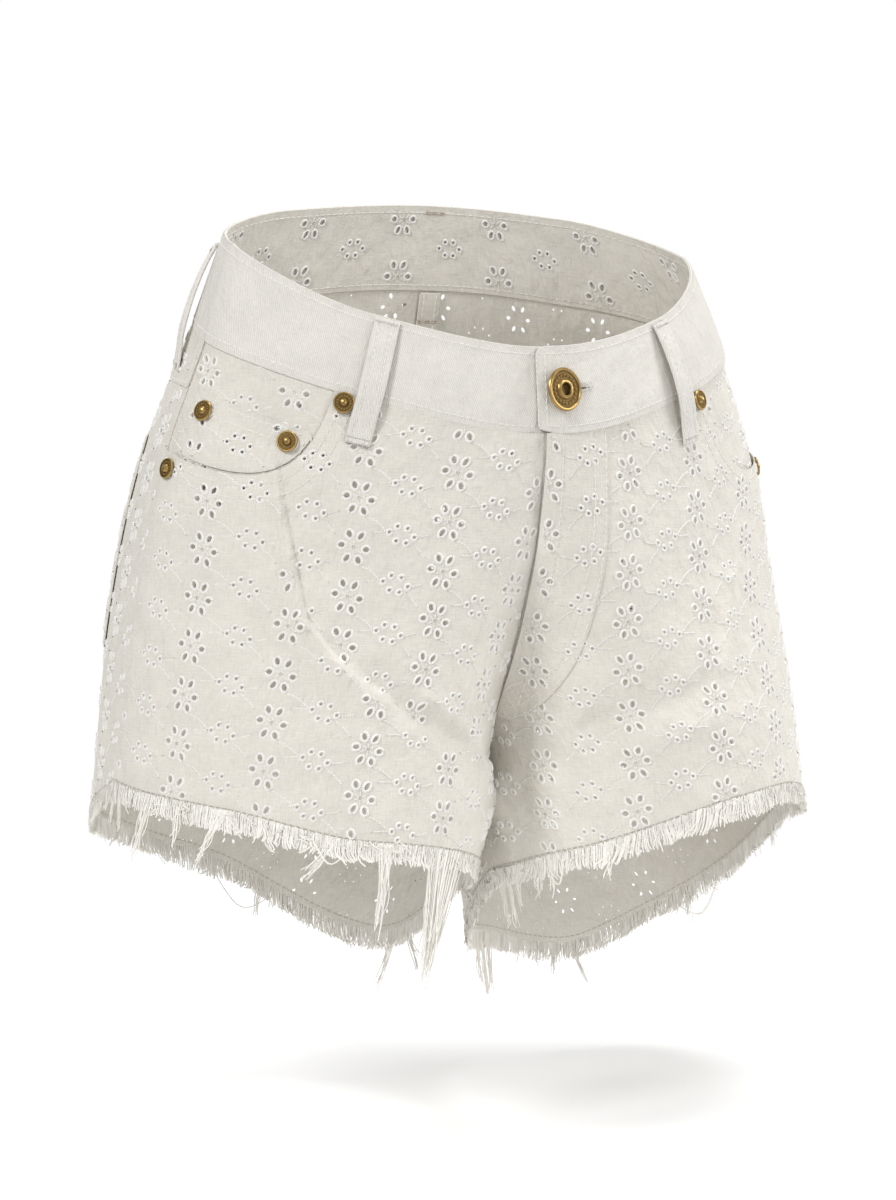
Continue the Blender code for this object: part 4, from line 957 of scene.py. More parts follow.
def lock_paths(rng, lock):
    """One long lock: yarns that hang side by side, wave together and part at their ends."""
    many = int(5 + lock.length / 6)
    u = np.linspace(0.0, 1.0, 16)[None, :]
    wide = 1.3 + lock.length / 22
    start = lock.across + np.linspace(-wide, wide, many)[:, None] + rng.normal(0.0, 0.3, many)[:, None]
    reach = lock.length * rng.uniform(0.66, 1.0, many)[:, None]
    turn = rng.uniform(0, math.tau, many)[:, None]
    sway = 1.3 * np.sin(3.4 * u + lock.across) * u
    stray = (rng.uniform(size=many) < 0.2)[:, None]
    curl = np.where(stray, 2.2, rng.uniform(0.15, 0.5, many)[:, None])
    across = start + (lock.across - start) * 0.55 * np.sin(u * math.pi / 2) + lock.drift * u + sway
    across = across + curl * np.sin(rng.uniform(4.0, 9.0, many)[:, None] * u + turn) * u
    out = 0.2 + rng.uniform(-0.4, 0.6, many)[:, None] + curl * 0.7 * np.cos(6.0 * u + turn) * u
    return np.stack([across, -0.8 + reach * u, out], axis=-1)


def loop_paths(rng, loop):
    """Two yarns that hang down in a long loop between two places on the hem."""
    u = np.linspace(0.0, 1.0, 22)[None, :]
    shift = rng.normal(0.0, 0.5, 2)[:, None]
    sag = np.sin(math.pi * u)
    across = loop.start + (loop.end - loop.start) * (u - 0.16 * np.sin(math.tau * u)) + shift
    drop = loop.depth * sag ** 0.75 * (1.0 - 0.08 * np.abs(shift)) + 6.0 * sag ** 8
    return np.stack([across, drop, 0.3 + 0.8 * np.sin(5 * u) + shift * 0.4], axis=-1)


Lock = namedtuple("Lock", "quarter across length drift")
# Locks that hang past the rest: mm from the outseam, hanging length, and how far the end drifts
# towards the inner edge
LONG_LOCKS = (
    Lock(FRONT_RIGHT, 2, 21, 1),
    Lock(FRONT_RIGHT, 10, 22, 0),
    Lock(FRONT_RIGHT, 31, 33, -6),
    Lock(FRONT_RIGHT, 49, 22, 0),
    Lock(FRONT_RIGHT, 74, 30, -11),
    Lock(FRONT_RIGHT, 92, 15, 5),
    Lock(FRONT_RIGHT, 126, 24, -10),
    Lock(FRONT_RIGHT, 151, 46, 1),
    Lock(FRONT_RIGHT, 154, 37, -2),
    Lock(FRONT_RIGHT, 181, 66, 0),
    Lock(FRONT_RIGHT, 187, 68, -3),
    Lock(FRONT_RIGHT, 194, 62, -7),
    Lock(FRONT_RIGHT, 201, 50, -10),
    Lock(FRONT_LEFT, 200, 20, 2),
    Lock(FRONT_LEFT, 235, 22, 2),
    Lock(FRONT_LEFT, 243, 20, -2),
    Lock(FRONT_LEFT, 252, 26, 2),
    Lock(FRONT_LEFT, 262, 34, 2),
    Lock(FRONT_LEFT, 270, 30, 2),
    Lock(BACK_RIGHT, 192, 22, -5),
    Lock(BACK_RIGHT, 271, 35, -9),
    Lock(BACK_RIGHT, 280, 30, 14),
    Lock(BACK_LEFT, 18, 18, 2),
    Lock(BACK_LEFT, 97, 22, 4),
    Lock(BACK_LEFT, 171, 27, -4),
    Lock(BACK_LEFT, 181, 19, 2),
    Lock(BACK_LEFT, 232, 34, 1),
    Lock(BACK_LEFT, 240, 37, -1),
    Lock(BACK_LEFT, 246, 30, 2),
)
HangingLoop = namedtuple("HangingLoop", "quarter start end depth")
HANGING_LOOPS = (
    HangingLoop(BACK_RIGHT, 162, 194, 14),
    HangingLoop(BACK_LEFT, 78, 106, 13),
    HangingLoop(FRONT_RIGHT, 116, 134, 6),
    HangingLoop(FRONT_LEFT, 226, 238, 9),
)


WARP_YARN, SHORT_YARN, WEFT_YARN, LOCK_YARN, LOOP_YARN = 0.43, 0.34, 0.24, 0.33, 0.34


def frayed_hem(quarter, seed, long, slant, sweep):
    """The raw hem below the stay-stitch, frayed out to clumped yarns, loose wefts and long locks."""
    rng = np.random.default_rng(seed)
    length = row_length(quarter, 1.0)[0]
    groups = [(fray_paths(rng, length, 1.4, long, slant, sweep, 0.25), WARP_YARN),
              (fray_paths(rng, length, 1.2, long * 0.92, slant * 0.6, sweep, -0.5), WARP_YARN),
              (fray_paths(rng, length, 0.9, 3.2, slant * 0.2, 0.4, 0.5, steps=4), SHORT_YARN),
              (loose_paths(rng, length, int(length / 10)), WEFT_YARN)]
    groups += [(lock_paths(rng, lock), LOCK_YARN) for lock in LONG_LOCKS if lock.quarter is quarter]
    groups += [(loop_paths(rng, loop), LOOP_YARN) for loop in HANGING_LOOPS if loop.quarter is quarter]
    fringe = hanging_yarns(f"fringe_{quarter.name}_yarns", quarter, groups)
    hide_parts(f"fringe_{quarter.name}")
    return fringe


# The wearer's right front has one repeat on each side of its pressed-in fold, whose line is given as mm
# from the outseam and mm below the waist seam.
TUCK = ((66, 46), (72, 60), (84, 84), (96, 110), (116, 127), (140, 138), (161, 150), (181, 154), (204, 157))
tuck = chart_mm(FRONT_RIGHT, *np.transpose(TUCK))
beyond = CHART_WIDTH * 1.1
tuck_side = np.concatenate([tuck, [(beyond, tuck[-1, 1]), (beyond, 0), (tuck[0, 0], 0)]])
tuck_line = read_run(np.linspace(0, 6, 150), np.arange(len(TUCK)), tuck)
tuck_dense = [tuck_line + np.array([shift, 0.0]) for shift in (-1.6, -0.5, 0.5, 1.6)]
HIP_REPEAT = Repeat(43.8, 181.7, 46.3, 11.3, 0.0, 22.9, 0.20)
FLY_REPEAT = Repeat(114.7, 155.1, 42.2, 10.6, 0.0, 23.0, 0.20)
LEFT_REPEAT = Repeat(124.9, 186.5, 45.5, 5.8, 4.4, 23.75, 0.22)
FRONTS = (("right", FRONT_RIGHT), ("left", FRONT_LEFT))
front_repeats = {RIGHT: ((HIP_REPEAT, (tuck_side, False)), (FLY_REPEAT, (tuck_side, True))),
                 LEFT: ((LEFT_REPEAT, None),)}
front_frays = {RIGHT: frayed_hem(FRONT_RIGHT, 11, 8.2, 0.4, 1.2),
               LEFT: frayed_hem(FRONT_LEFT, 12, 9.6, 1.6, 3.4)}
for side_name, quarter in FRONTS:
    eyelet_piece(f"front_{side_name}_cloth", ground_of(quarter), front_outline(quarter),
                 front_repeats[quarter.side], 0.0, f"front_panel_{side_name}",
                 runs=[scoop_run(quarter, away) for away in SCOOP_ROWS], hem=hem_runs(quarter),
                 dense=tuck_dense if quarter is FRONT_RIGHT else (), fray=[front_frays[quarter.side]])

# ---- Hip facings and the small coin pocket
# Behind each scooped opening lies a hip facing of the same eyelet cotton, and the wearer's right one
# carries a small pocket with a turned top, double stitched, that runs down behind the scoop's edge.

LAID_GAP = 0.8
PANEL_WALL = 1.4
FACING_UNDERLAP = 12.0
FACING_OFF = -(PANEL_WALL + LAID_GAP)
FACING_AT_SEAMS = -0.7
COIN_LEFT, COIN_TOP = 11.0, 22.0
COIN_WALL = 1.0
COIN_MARGIN = 1.6
COIN_CORNER = 4.4
COIN_ROWS = (2.6, 8.4)


def line_run(quarter, across_mm, fall_mm, standoff, points=160):
    """A laid line through the given places, for a row of stitches."""
    line = chart_mm(quarter, across_mm, fall_mm)
    at = read_run(np.linspace(0, len(line) - 1, points), np.arange(len(line)), line)
    return laid_run(ground_of(quarter), at, standoff)


def facing_outline(quarter):
    edge = scoop(quarter, FACING_UNDERLAP)
    edge[:, 1] = np.maximum(edge[:, 1], TOP_EDGE)
    edge[-1, 0] = seam_share(quarter, 0.4)
    top = run_across(TOP_EDGE, edge[-1, 0], edge[0, 0], CLOTH_STEP)
    side = run_down(quarter, SEAM_GAP / 2, edge[-1, 1], TOP_EDGE, CLOTH_STEP)
    return np.concatenate([top[:-1], chart(*edge.T), side[1:-1]])


def coin_outline():
    """Its turned top with a rounded corner, and both sides down behind the edge of the scoop."""
    reach = SCOOP_REACH[RIGHT] - COIN_MARGIN - 5.0
    edge = scoop(FRONT_RIGHT, -COIN_MARGIN)
    left, top_down = spot(FRONT_RIGHT, COIN_LEFT, COIN_TOP + 6)
    edge = edge[(edge[:, 1] > top_down) & (edge[:, 0] > left + 0.01)]
    turn = np.linspace(0.2, math.pi / 2, 6)
    corner_fall = COIN_TOP + COIN_CORNER - COIN_CORNER * np.cos(turn)
    return np.concatenate([
        chart_mm(FRONT_RIGHT, np.linspace(COIN_LEFT + 0.3, reach, 24), COIN_TOP),
        chart_mm(FRONT_RIGHT, reach + COIN_CORNER * np.sin(turn), corner_fall),
        chart(*edge.T),
        chart_mm(FRONT_RIGHT, COIN_LEFT + 1.0, SCOOP_DEPTH - COIN_MARGIN - 0.4),
        chart_mm(FRONT_RIGHT, COIN_LEFT + 0.4, np.linspace(SCOOP_DEPTH - 6, COIN_TOP + 3, 12))])


def pressed(outline, base, rise, reach, foot):
    """Standoff of a piece laid on another: down at its edges, plump inside them."""
    def standoff(xy):
        return base + foot + (rise - foot) * smoothstep(gap_to(outline, xy) / reach)
    return standoff


def facing_standoff(quarter):
    """Sunk behind the scoop, but up to the seams at the outseam and under the band."""
    def standoff(xy):
        from_side = xy[:, 0] / CHART_WIDTH * read_chart(quarter, xy)[:, 7]
        from_band = xy[:, 1] - TOP_EDGE * CHART_HEIGHT
        sunk = smoothstep((from_side - 0.5) / 9.0) * smoothstep(from_band / 7.0)
        return FACING_AT_SEAMS + (FACING_OFF - FACING_AT_SEAMS) * sunk
    return standoff


FACING_REPEAT = {RIGHT: Repeat(33.0, 72.0, 46.0, 10.0, 0.0, 23.2, 0.18),
                 LEFT: Repeat(40.0, 80.0, 46.0, 10.0, 0.0, 23.2, 0.18)}
COIN_REPEAT = Repeat(33.0, 92.0, 46.0, 9.0, 0.0, 23.2, 0.18)
for side_name, quarter in FRONTS:
    eyelet_piece(f"hip_facing_{side_name}_cloth", ground_of(quarter), facing_outline(quarter),
                 ((FACING_REPEAT[quarter.side], None),), facing_standoff(quarter),
                 f"pocket_facing_{side_name}")
coin_loop = coin_outline()
coin_off = pressed(coin_loop, FACING_OFF, 1.5, 3.0, 0.8)
coin_rows = [line_run(FRONT_RIGHT, [COIN_LEFT + 2, SCOOP_REACH[RIGHT] - 7], COIN_TOP + drop, coin_off)
             for drop in COIN_ROWS]
coin_rows.append(line_run(FRONT_RIGHT, [71.6, 71.0], [COIN_TOP + 5, 48.0], coin_off))
eyelet_piece("coin_pocket_cloth", ground_of(FRONT_RIGHT), coin_loop, ((COIN_REPEAT, None),), coin_off,
             "coin_pocket", runs=coin_rows)

# ---- Fly
# The wearer's left front laps over the right one. Its fly is faced with a second layer of eyelet cotton,
# held by one row beside the folded edge and a double row that turns in to the centre as a J.

FLY_WIDTH = 34.5
FLY_STRAIGHT = 104.0
FLY_END = 150.0
FLY_CLEAR = 1.5
FLY_TOE = 4.0
FLY_ROWS = (33.2, 27.0)


def fly_line(width, points=40):
    """The J's line, from the waist seam down and in to the centre."""
    turn = np.linspace(0.1, math.pi / 2, points // 2)
    across = np.concatenate([np.full(points, -width), -(width - FLY_TOE) * np.cos(turn) - FLY_TOE])
    fall = np.concatenate([np.linspace(0.8, FLY_STRAIGHT, points),
                           FLY_STRAIGHT + (FLY_END - FLY_STRAIGHT - (FLY_WIDTH - width)) * np.sin(turn)])
    return np.stack(spot(FRONT_LEFT, across, fall), axis=-1)


def fly_outline():
    outer = fly_line(FLY_WIDTH)
    outer[:, 1] = np.maximum(outer[:, 1], TOP_EDGE)
    levels = np.linspace(outer[-1, 1], TOP_EDGE, 50)
    clear = SEAM_GAP + FLY_CLEAR * smoothstep((levels - 0.35) / 0.3)
    inner = chart(1.0 - clear / row_length(FRONT_LEFT, levels), levels)
    top = run_across(TOP_EDGE, inner[-1, 0] / CHART_WIDTH, outer[0, 0], CLOTH_STEP)
    return np.concatenate([top[:-1], chart(*outer.T), inner[1:-1]])


def fly_standoff(xy):
    """Plump at the folded centre edge, and sunk level with the front at the J."""
    from_centre = (1.0 - xy[:, 0] / CHART_WIDTH) * read_chart(FRONT_LEFT, xy)[:, 7]
    return 0.86 + 1.5 * np.exp(-(from_centre / 9.0) ** 2)


fly_rows = [laid_run(ground_of(FRONT_LEFT), chart(*fly_line(width).T), fly_standoff) for width in FLY_ROWS]
edge_fall = np.linspace(1.5, 140, 60)
edge_across = -np.interp(edge_fall, [0, 60, 144, 186], [9.0, 9.5, 12.5, 9.0])
fly_rows.append(line_run(FRONT_LEFT, edge_across, edge_fall, fly_standoff))
eyelet_piece("fly_cloth", ground_of(FRONT_LEFT), fly_outline(), ((LEFT_REPEAT, None),), fly_standoff, "fly",
             runs=fly_rows)

# ---- Back yokes, backs and pockets
# The seat is two backs of eyelet cotton under a shaped yoke, flat-felled with double rows, and each back
# carries a big pointed pocket of the same cloth with a turned top and twin stitching.

YOKE_AT_SIDE = 24.0
YOKE_AT_CENTRE = 62.0
YOKE_OVER = 0.5
POCKET_INNER = 50.0
POCKET_TOP = 62.0
POCKET_WIDTH = 122.0
POCKET_SIDE = 104.0
POCKET_POINT = 130.0
POCKET_TAPER = 6.0
POCKET_HEMS = (3.0, 14.0)
TWIN_ROWS = (1.6, 7.4)
SEAT_DRAWN_BELOW = 0.62
FELL_OUTER = -(CLOTH_THICKNESS + 0.25)
FELL_THICKNESS = 1.3


def yoke_line(quarter, shift, points=60):
    places = np.linspace(0.0, 1.0, points)
    fall = YOKE_AT_SIDE + (YOKE_AT_CENTRE - YOKE_AT_SIDE) * places ** 1.2 + shift
    return np.stack([places, spot(quarter, places * row_length(quarter, 0.3)[0], fall)[1]], axis=-1)


def back_outlines(quarter):
    """The yoke's outline and the back's, parted by the seam gap."""
    above, below = yoke_line(quarter, -SEAM_GAP / 2), yoke_line(quarter, SEAM_GAP / 2)
    inset = seam_share(quarter, above[0, 1])
    above[:, 0], below[:, 0] = np.clip(above[:, 0], inset, 1.0), np.clip(below[:, 0], inset, 1.0)
    top = run_across(TOP_EDGE, inset, 1.0, CLOTH_STEP)
    centre = chart(1.0, np.linspace(TOP_EDGE, above[-1, 1], 20)[1:-1])
    yoke_side = run_down(quarter, SEAM_GAP / 2, above[0, 1], TOP_EDGE, CLOTH_STEP)
    back_side = run_down(quarter, SEAM_GAP / 2, 1.0, below[0, 1], CLOTH_STEP)
    return (np.concatenate([top, centre, chart(*above[::-1].T), yoke_side[1:-1]]),
            np.concatenate([chart(*below[:-1].T), inner_and_hem(quarter, below[-1, 1]), back_side[1:-1]]))


def pocket_corners(grow):
    left, right = POCKET_INNER - grow, POCKET_INNER + POCKET_WIDTH + grow
    side_foot = POCKET_TOP + POCKET_SIDE + grow * 0.4
    return ((left, POCKET_TOP), (right, POCKET_TOP), (right - POCKET_TAPER, side_foot),
            ((left + right) / 2, POCKET_TOP + POCKET_POINT + grow), (left + POCKET_TAPER, side_foot))


def pocket_outline(quarter):
    corners = pocket_corners(0.0)
    loop = []
    for start, end in zip(corners, corners[1:] + corners[:1]):
        count = int(math.dist(start, end) / 3.0)
        share = (np.arange(count) / count)[:, None]
        loop.append(np.array(start) * (1 - share) + np.array(end) * share)
    return chart_mm(quarter, *np.concatenate(loop).T)


def pocket_rows(quarter, standoff):
    rows = []
    for grow in (-1.8, -7.6):
        corners = pocket_corners(grow)
        rows.append(line_run(quarter, *np.transpose(corners[1:] + corners[:1]), standoff, 300))
    top = (POCKET_INNER + 1.5, POCKET_INNER + POCKET_WIDTH - 1.5)
    rows += [line_run(quarter, top, POCKET_TOP + drop, standoff) for drop in POCKET_HEMS]
    return rows


def from_centre(quarter, away, levels):
    """Chart points some mm out from the centre seam."""
    return chart(1.0 - away / row_length(quarter, levels), levels)


TACK_THREAD = thread_finish("tack_thread", (0.52, 0.43, 0.35), 0.6)


def seat_fell():
    """The felled seam allowances of the seat seam, lying flat inside the left back in two rows."""
    levels = np.linspace(TOP_EDGE + 0.004, 0.6, 90)
    ground = ground_of(BACK_LEFT)

    def inner_run(away, level, depth=0.0):
        path = from_centre(BACK_LEFT, away, level * np.ones_like(away))
        laid, normals = laid_run(ground, path, FELL_OUTER - FELL_THICKNESS - depth)
        return laid, -normals

    near, far = (from_centre(BACK_LEFT, away, levels) for away in (0.8, 11.6))
    fell = cut_cloth("seat_fell_cloth", np.concatenate([far, near[::-1]]), [], 3.0, ground, FELL_OUTER,
                     FELL_THICKNESS, EYELET_COTTON)
    rows = [inner_run(np.full(90, away), levels) for away in (2.6, 9.6)]
    bars = [inner_run(np.linspace(0.2, 12.2, 40), level) for level in (0.196, 0.199)]
    bars += [inner_run(np.linspace(0.3, 11.5, 40), level, -0.78) for level in (0.012, 0.015)]
    return [fell, topstitches("seat_fell_stitches", rows, 0.8, 0.45),
            topstitches("seat_fell_bartack", bars, 0.9, 0.5, TACK_THREAD)]


BACK_REPEAT = Repeat(30.0, 150.0, 46.3, 11.3, 0.0, 23.4, 0.2)
YOKE_REPEAT = Repeat(22.0, 60.0, 46.3, -6.0, 0.0, 23.4, -0.12)
POCKET_REPEAT = Repeat(64.0, 128.0, 46.3, 4.0, 0.0, 23.4, 0.08)
for side_name, quarter, seed in (("right", BACK_RIGHT, 13), ("left", BACK_LEFT, 14)):
    yoke_loop, back_loop = back_outlines(quarter)
    yoke_rows = [laid_run(ground_of(quarter), chart(*yoke_line(quarter, -drop)[1:-1].T), YOKE_OVER)
                 for drop in TWIN_ROWS]
    eyelet_piece(f"yoke_{side_name}_cloth", ground_of(quarter), yoke_loop, ((YOKE_REPEAT, None),), YOKE_OVER,
                 f"back_yoke_{side_name}", runs=yoke_rows)
    # the seat seam is felled to the wearer's left, so only the left back shows its two rows
    levels = np.linspace(0.36, CROTCH - 0.01, 150)
    seat_rows = [laid_run(ground_of(quarter), from_centre(quarter, away, levels), 0.0)
                 for away in (TWIN_ROWS if quarter is BACK_LEFT else ())]
    back_stitches = hem_runs(quarter)
    fringe = frayed_hem(quarter, seed, 9.4, 0.8, 1.4)
    eyelet_piece(f"back_{side_name}_cloth", ground_of(quarter), back_loop, ((BACK_REPEAT, None),), 0.0,
                 f"back_panel_{side_name}", runs=seat_rows, hem=back_stitches, step=3.5,
                 drawn_below=SEAT_DRAWN_BELOW, fray=[fringe, *(seat_fell() if quarter is BACK_LEFT else ())])
    pocket_loop = pocket_outline(quarter)
    pocket_off = pressed(pocket_loop, 0.0, 1.7, 4.0, 1.25)
    eyelet_piece(f"back_pocket_{side_name}_cloth", ground_of(quarter), pocket_loop, ((POCKET_REPEAT, None),),
                 pocket_off, f"back_pocket_{side_name}",
                 runs=pocket_rows(quarter, pocket_off))

# ---- Waistband and its facing
# A straight band of plain cotton twill goes right round and laps left over right at the centre front. It
# is faced inside with a strip of eyelet cotton, edge stitched all round, and has a keyhole buttonhole.

BAND_OUTER = 1.0
BAND_WALL = 1.3
FACING_OUTER = BAND_OUTER - BAND_WALL - SEAM_GAP
LAP_LIFT = 1.5
LAP_SINK = -1.4
LAP_OVER = 3.2
LAP_UNDER = 24.0
LAP_FADE = 38.0
QUARTER_RUN = 175.0
ROUND_RUN = 4 * QUARTER_RUN
BUTTON_FROM_CENTRE = 7.2
BUTTONHOLE_RADIUS = 4.0
BUTTONHOLE_SLIT = 0.8
BUTTONHOLE_FOOT = BUTTON_FROM_CENTRE + 15.0
RIM_GAP = 0.5
BAND_CORNER = 5.0
BAND_FOOT = WAIST_SEAM * CHART_HEIGHT - SEAM_GAP / 2
BAND_MIDDLE = WAIST_SEAM * CHART_HEIGHT / 2
EDGE_ROW = 3.6
ROUND = (FRONT_LEFT, BACK_LEFT, BACK_RIGHT, FRONT_RIGHT)


def lay_band(xy):
    """The band goes round from the centre front by the wearer's left side, back and right side."""
    run = xy[:, 0] / QUARTER_RUN
    points, normals = np.zeros((len(xy), 3)), np.zeros((len(xy), 3))
    for number in range(-1, 5):
        here = np.floor(run) == number
        if here.any():
            share = run[here] - number
            across = share if number % 2 == 1 else 1.0 - share
            place = read_grid(ROUND[number % 4], across, xy[here, 1] / CHART_HEIGHT)
            points[here], normals[here] = place[:, 0:3], place[:, 3:6]
    return points, normals


def band_standoff(base, plump):
    """The left end lifts over the right end, which sinks under it, and both long edges roll over."""
    def standoff(xy):
        along, height = xy.T
        lift = 1.0 - smoothstep((along - LAP_UNDER - 2) / LAP_FADE)
        sink = smoothstep((along - ROUND_RUN + LAP_OVER + 2 + LAP_FADE) / LAP_FADE)
        edge = np.minimum(np.minimum(height - RIM_GAP, BAND_FOOT - height), along + LAP_OVER)
        rolled = -0.55 * np.exp(-(np.maximum(edge, 0.0) / 1.1) ** 2)
        stitched = -0.22 * np.exp(-((edge - EDGE_ROW) / 0.9) ** 2)
        wave = np.sin(along * 1.05 + 2.0 * np.sin(along * 0.11))
        ripple = 0.10 * wave * np.exp(-((edge - EDGE_ROW) / 2.2) ** 2)
        return base + LAP_LIFT * lift + LAP_SINK * sink + plump * (rolled + stitched + ripple)
    return standoff


def level_run(along, height):
    return np.stack(np.broadcast_arrays(np.asarray(along, float), np.asarray(height, float)), axis=-1)


def band_outline():
    start, end = -LAP_OVER, ROUND_RUN + LAP_UNDER
    turn = np.linspace(0.0, math.pi / 2, 8)
    corner = level_run(start + BAND_CORNER * (1 - np.cos(turn)), RIM_GAP + BAND_CORNER * (1 - np.sin(turn)))
    along = np.arange(start + BAND_CORNER, end, 2.6)
    along = along[np.abs((along + 20) % QUARTER_RUN - 20) > 0.2]
    upright = np.linspace(RIM_GAP, BAND_FOOT, 18)[1:-1]
    return np.concatenate([
        corner, level_run(along[1:], RIM_GAP), [(end, RIM_GAP)], level_run(end, upright), [(end, BAND_FOOT)],
        level_run(along[:0:-1], BAND_FOOT), level_run(start, upright[::-1][:14])])


def buttonhole(slit):
    """A keyhole: a round eye at the button and a slit towards the wearer's left."""
    opening = math.asin(slit / BUTTONHOLE_RADIUS)
    turn = np.linspace(opening, math.tau - opening, 22)
    eye = level_run(BUTTON_FROM_CENTRE + BUTTONHOLE_RADIUS * np.cos(turn),
                    BAND_MIDDLE + BUTTONHOLE_RADIUS * np.sin(turn))
    end = BUTTONHOLE_FOOT
    return np.concatenate([eye, [(end - 3, BAND_MIDDLE - slit), (end, BAND_MIDDLE - slit * 0.6),
                                 (end, BAND_MIDDLE + slit * 0.6), (end - 3, BAND_MIDDLE + slit)]])


def buttonhole_bars():
    """The worked bars down both sides of the slit, and their fan round its foot."""
    paths = []
    for k in range(22):
        at = BUTTON_FROM_CENTRE + 4.6 + k * 0.52
        reach = 2.5 if k < 20 else 1.9
        edge = 0.45 if at < BUTTONHOLE_FOOT else 0.05
        bar = np.linspace(edge, reach, 5)
        paths += [level_run(np.linspace(at, at + 0.25, 5), BAND_MIDDLE + side * bar) for side in (-1, 1)]
    ray = np.linspace(0.3, 2.8, 5)
    for fan in np.radians(-66 + 22 * np.arange(7)):
        paths.append(level_run(BUTTONHOLE_FOOT + 1.0 + np.cos(fan) * ray, BAND_MIDDLE + np.sin(fan) * ray))
    return [laid_run(BAND, path, band_off) for path in paths]


def as_it_is(xy):
    return xy


TWILL = cotton_finish("cotton_twill_cloth", (0.725, 0.70, 0.65), rib=0.8)
BAND = Ground(lay_band, as_it_is, as_it_is)
band_off = band_standoff(BAND_OUTER, 1.0)
row_top, row_foot = RIM_GAP + EDGE_ROW, BAND_FOOT - EDGE_ROW
row_start = -LAP_OVER + EDGE_ROW
band_run = np.arange(row_start, ROUND_RUN + LAP_UNDER - 4, 1.6)
row_paths = (level_run(band_run, row_top), level_run(band_run, row_foot),
             level_run(row_start, np.linspace(row_top, row_foot, 60)))
band_rows = [laid_run(BAND, path, band_off) for path in row_paths]
band = cut_cloth("waistband_cloth", band_outline(), [buttonhole(BUTTONHOLE_SLIT)], 2.9, BAND, band_off,
                 BAND_WALL, TWILL)
band_stitches = topstitches("waistband_cloth_stitches", band_rows)
keyhole = thread_lines("waistband_cloth_buttonhole", buttonhole_bars(), 0.5, 0.42, TOPSTITCH)
declare(band, "waistband", [band_stitches, keyhole])
facing_off = band_standoff(FACING_OUTER, 0.0)
facing_rows = []
for level in (RIM_GAP + 3.4, BAND_FOOT - 2.4):
    laid, normals = laid_run(BAND, level_run(band_run, level), facing_off)
    facing_rows.append((laid - normals * CLOTH_THICKNESS, -normals))
FACING_BAND_REPEAT = Repeat(26.4, 7.5, 56.0, 0.0, 0.0, 29.5, 0.0)
eyelet_piece("waistband_facing_cloth", BAND, band_outline(), ((FACING_BAND_REPEAT, None),), facing_off,
             "waistband_facing", step=3.3, runs=facing_rows, faces_in=True)

# ---- Belt loops
# Five loops of folded twill, two rows of stitching down each, are bartacked over the rim of the band and
# again below the waist seam, and stand a little off the band between.

LOOP_WIDTH = 12.0
LOOP_WALL = 1.8
LOOP_CUT_WIDTH, LOOP_CUT_LENGTH = 13.5, 61.5
LOOP_STATIONS = 46
LOOP_ROWS = (-2.9, 2.9)
Loop = namedtuple("Loop", "name quarter across_top across_foot fall_top fall_foot bow")
LOOPS = (
    Loop("front_right", FRONT_RIGHT, -74.5, -91.5, -39.5, 22.0, 1.8),
    Loop("front_left", FRONT_LEFT, -80.0, -94.0, -39.5, 22.0, 3.4),
    Loop("side_right", BACK_RIGHT, 31.0, 24.0, -39.5, 21.0, 3.4),
    Loop("side_left", BACK_LEFT, 31.0, 24.0, -39.5, 21.0, 3.0),
    Loop("back", BACK_LEFT, -0.1, -0.1, -39.5, 21.0, 2.2),
)


def loop_points(loop, stations, sideways, lift):
    """Points sideways mm off the loop's middle and lift mm over its back, one row for each station."""
    share = np.linspace(0.0, 1.0, stations)
    across = loop.across_top + (loop.across_foot - loop.across_top) * share
    fall = loop.fall_top + (loop.fall_foot - loop.fall_top) * share
    place, down = spot(loop.quarter, across, fall)
    raised = BAND_OUTER * (1.0 - smoothstep((fall - 3.0) / 12.0))
    standoff = raised + SEAM_GAP + 0.1 + loop.bow * np.sin(math.pi * share) ** 0.8
    per_mm = 1.0 / row_length(loop.quarter, down)
    points, normals = np.zeros((stations, len(sideways), 3)), np.zeros((stations, len(sideways), 3))
    for k, (side, up) in enumerate(zip(sideways, lift)):
        at = place + side * per_mm
        here = read_grid(loop.quarter, np.minimum(at, 1.0), down)
        if loop.name == "back":
            other = read_grid(BACK_RIGHT, np.minimum(2.0 - at, 1.0), down)
            here = np.where((at > 1.0)[:, None], other, here)
        points[:, k] = here[:, 0:3] + here[:, 3:6] * (standoff + up)[:, None]
        normals[:, k] = here[:, 3:6]
    return points, normals


def loop_section():
    """The folded strip's cross section, with a dip along each row of stitches."""
    half, wall = LOOP_WIDTH / 2, LOOP_WALL
    right = ((2.3, wall + 0.05), (2.9, wall - 0.2), (3.4, wall + 0.05), (half - 1.2, wall), (half - 0.3, 1.5),
             (half + 0.1, 0.9), (half, 0.3))
    left = tuple((-x, height) for x, height in right[::-1])
    return (*left, (0, wall + 0.15), *right, (half - 0.5, 0.0), (0, 0.0), (-half + 0.5, 0.0))


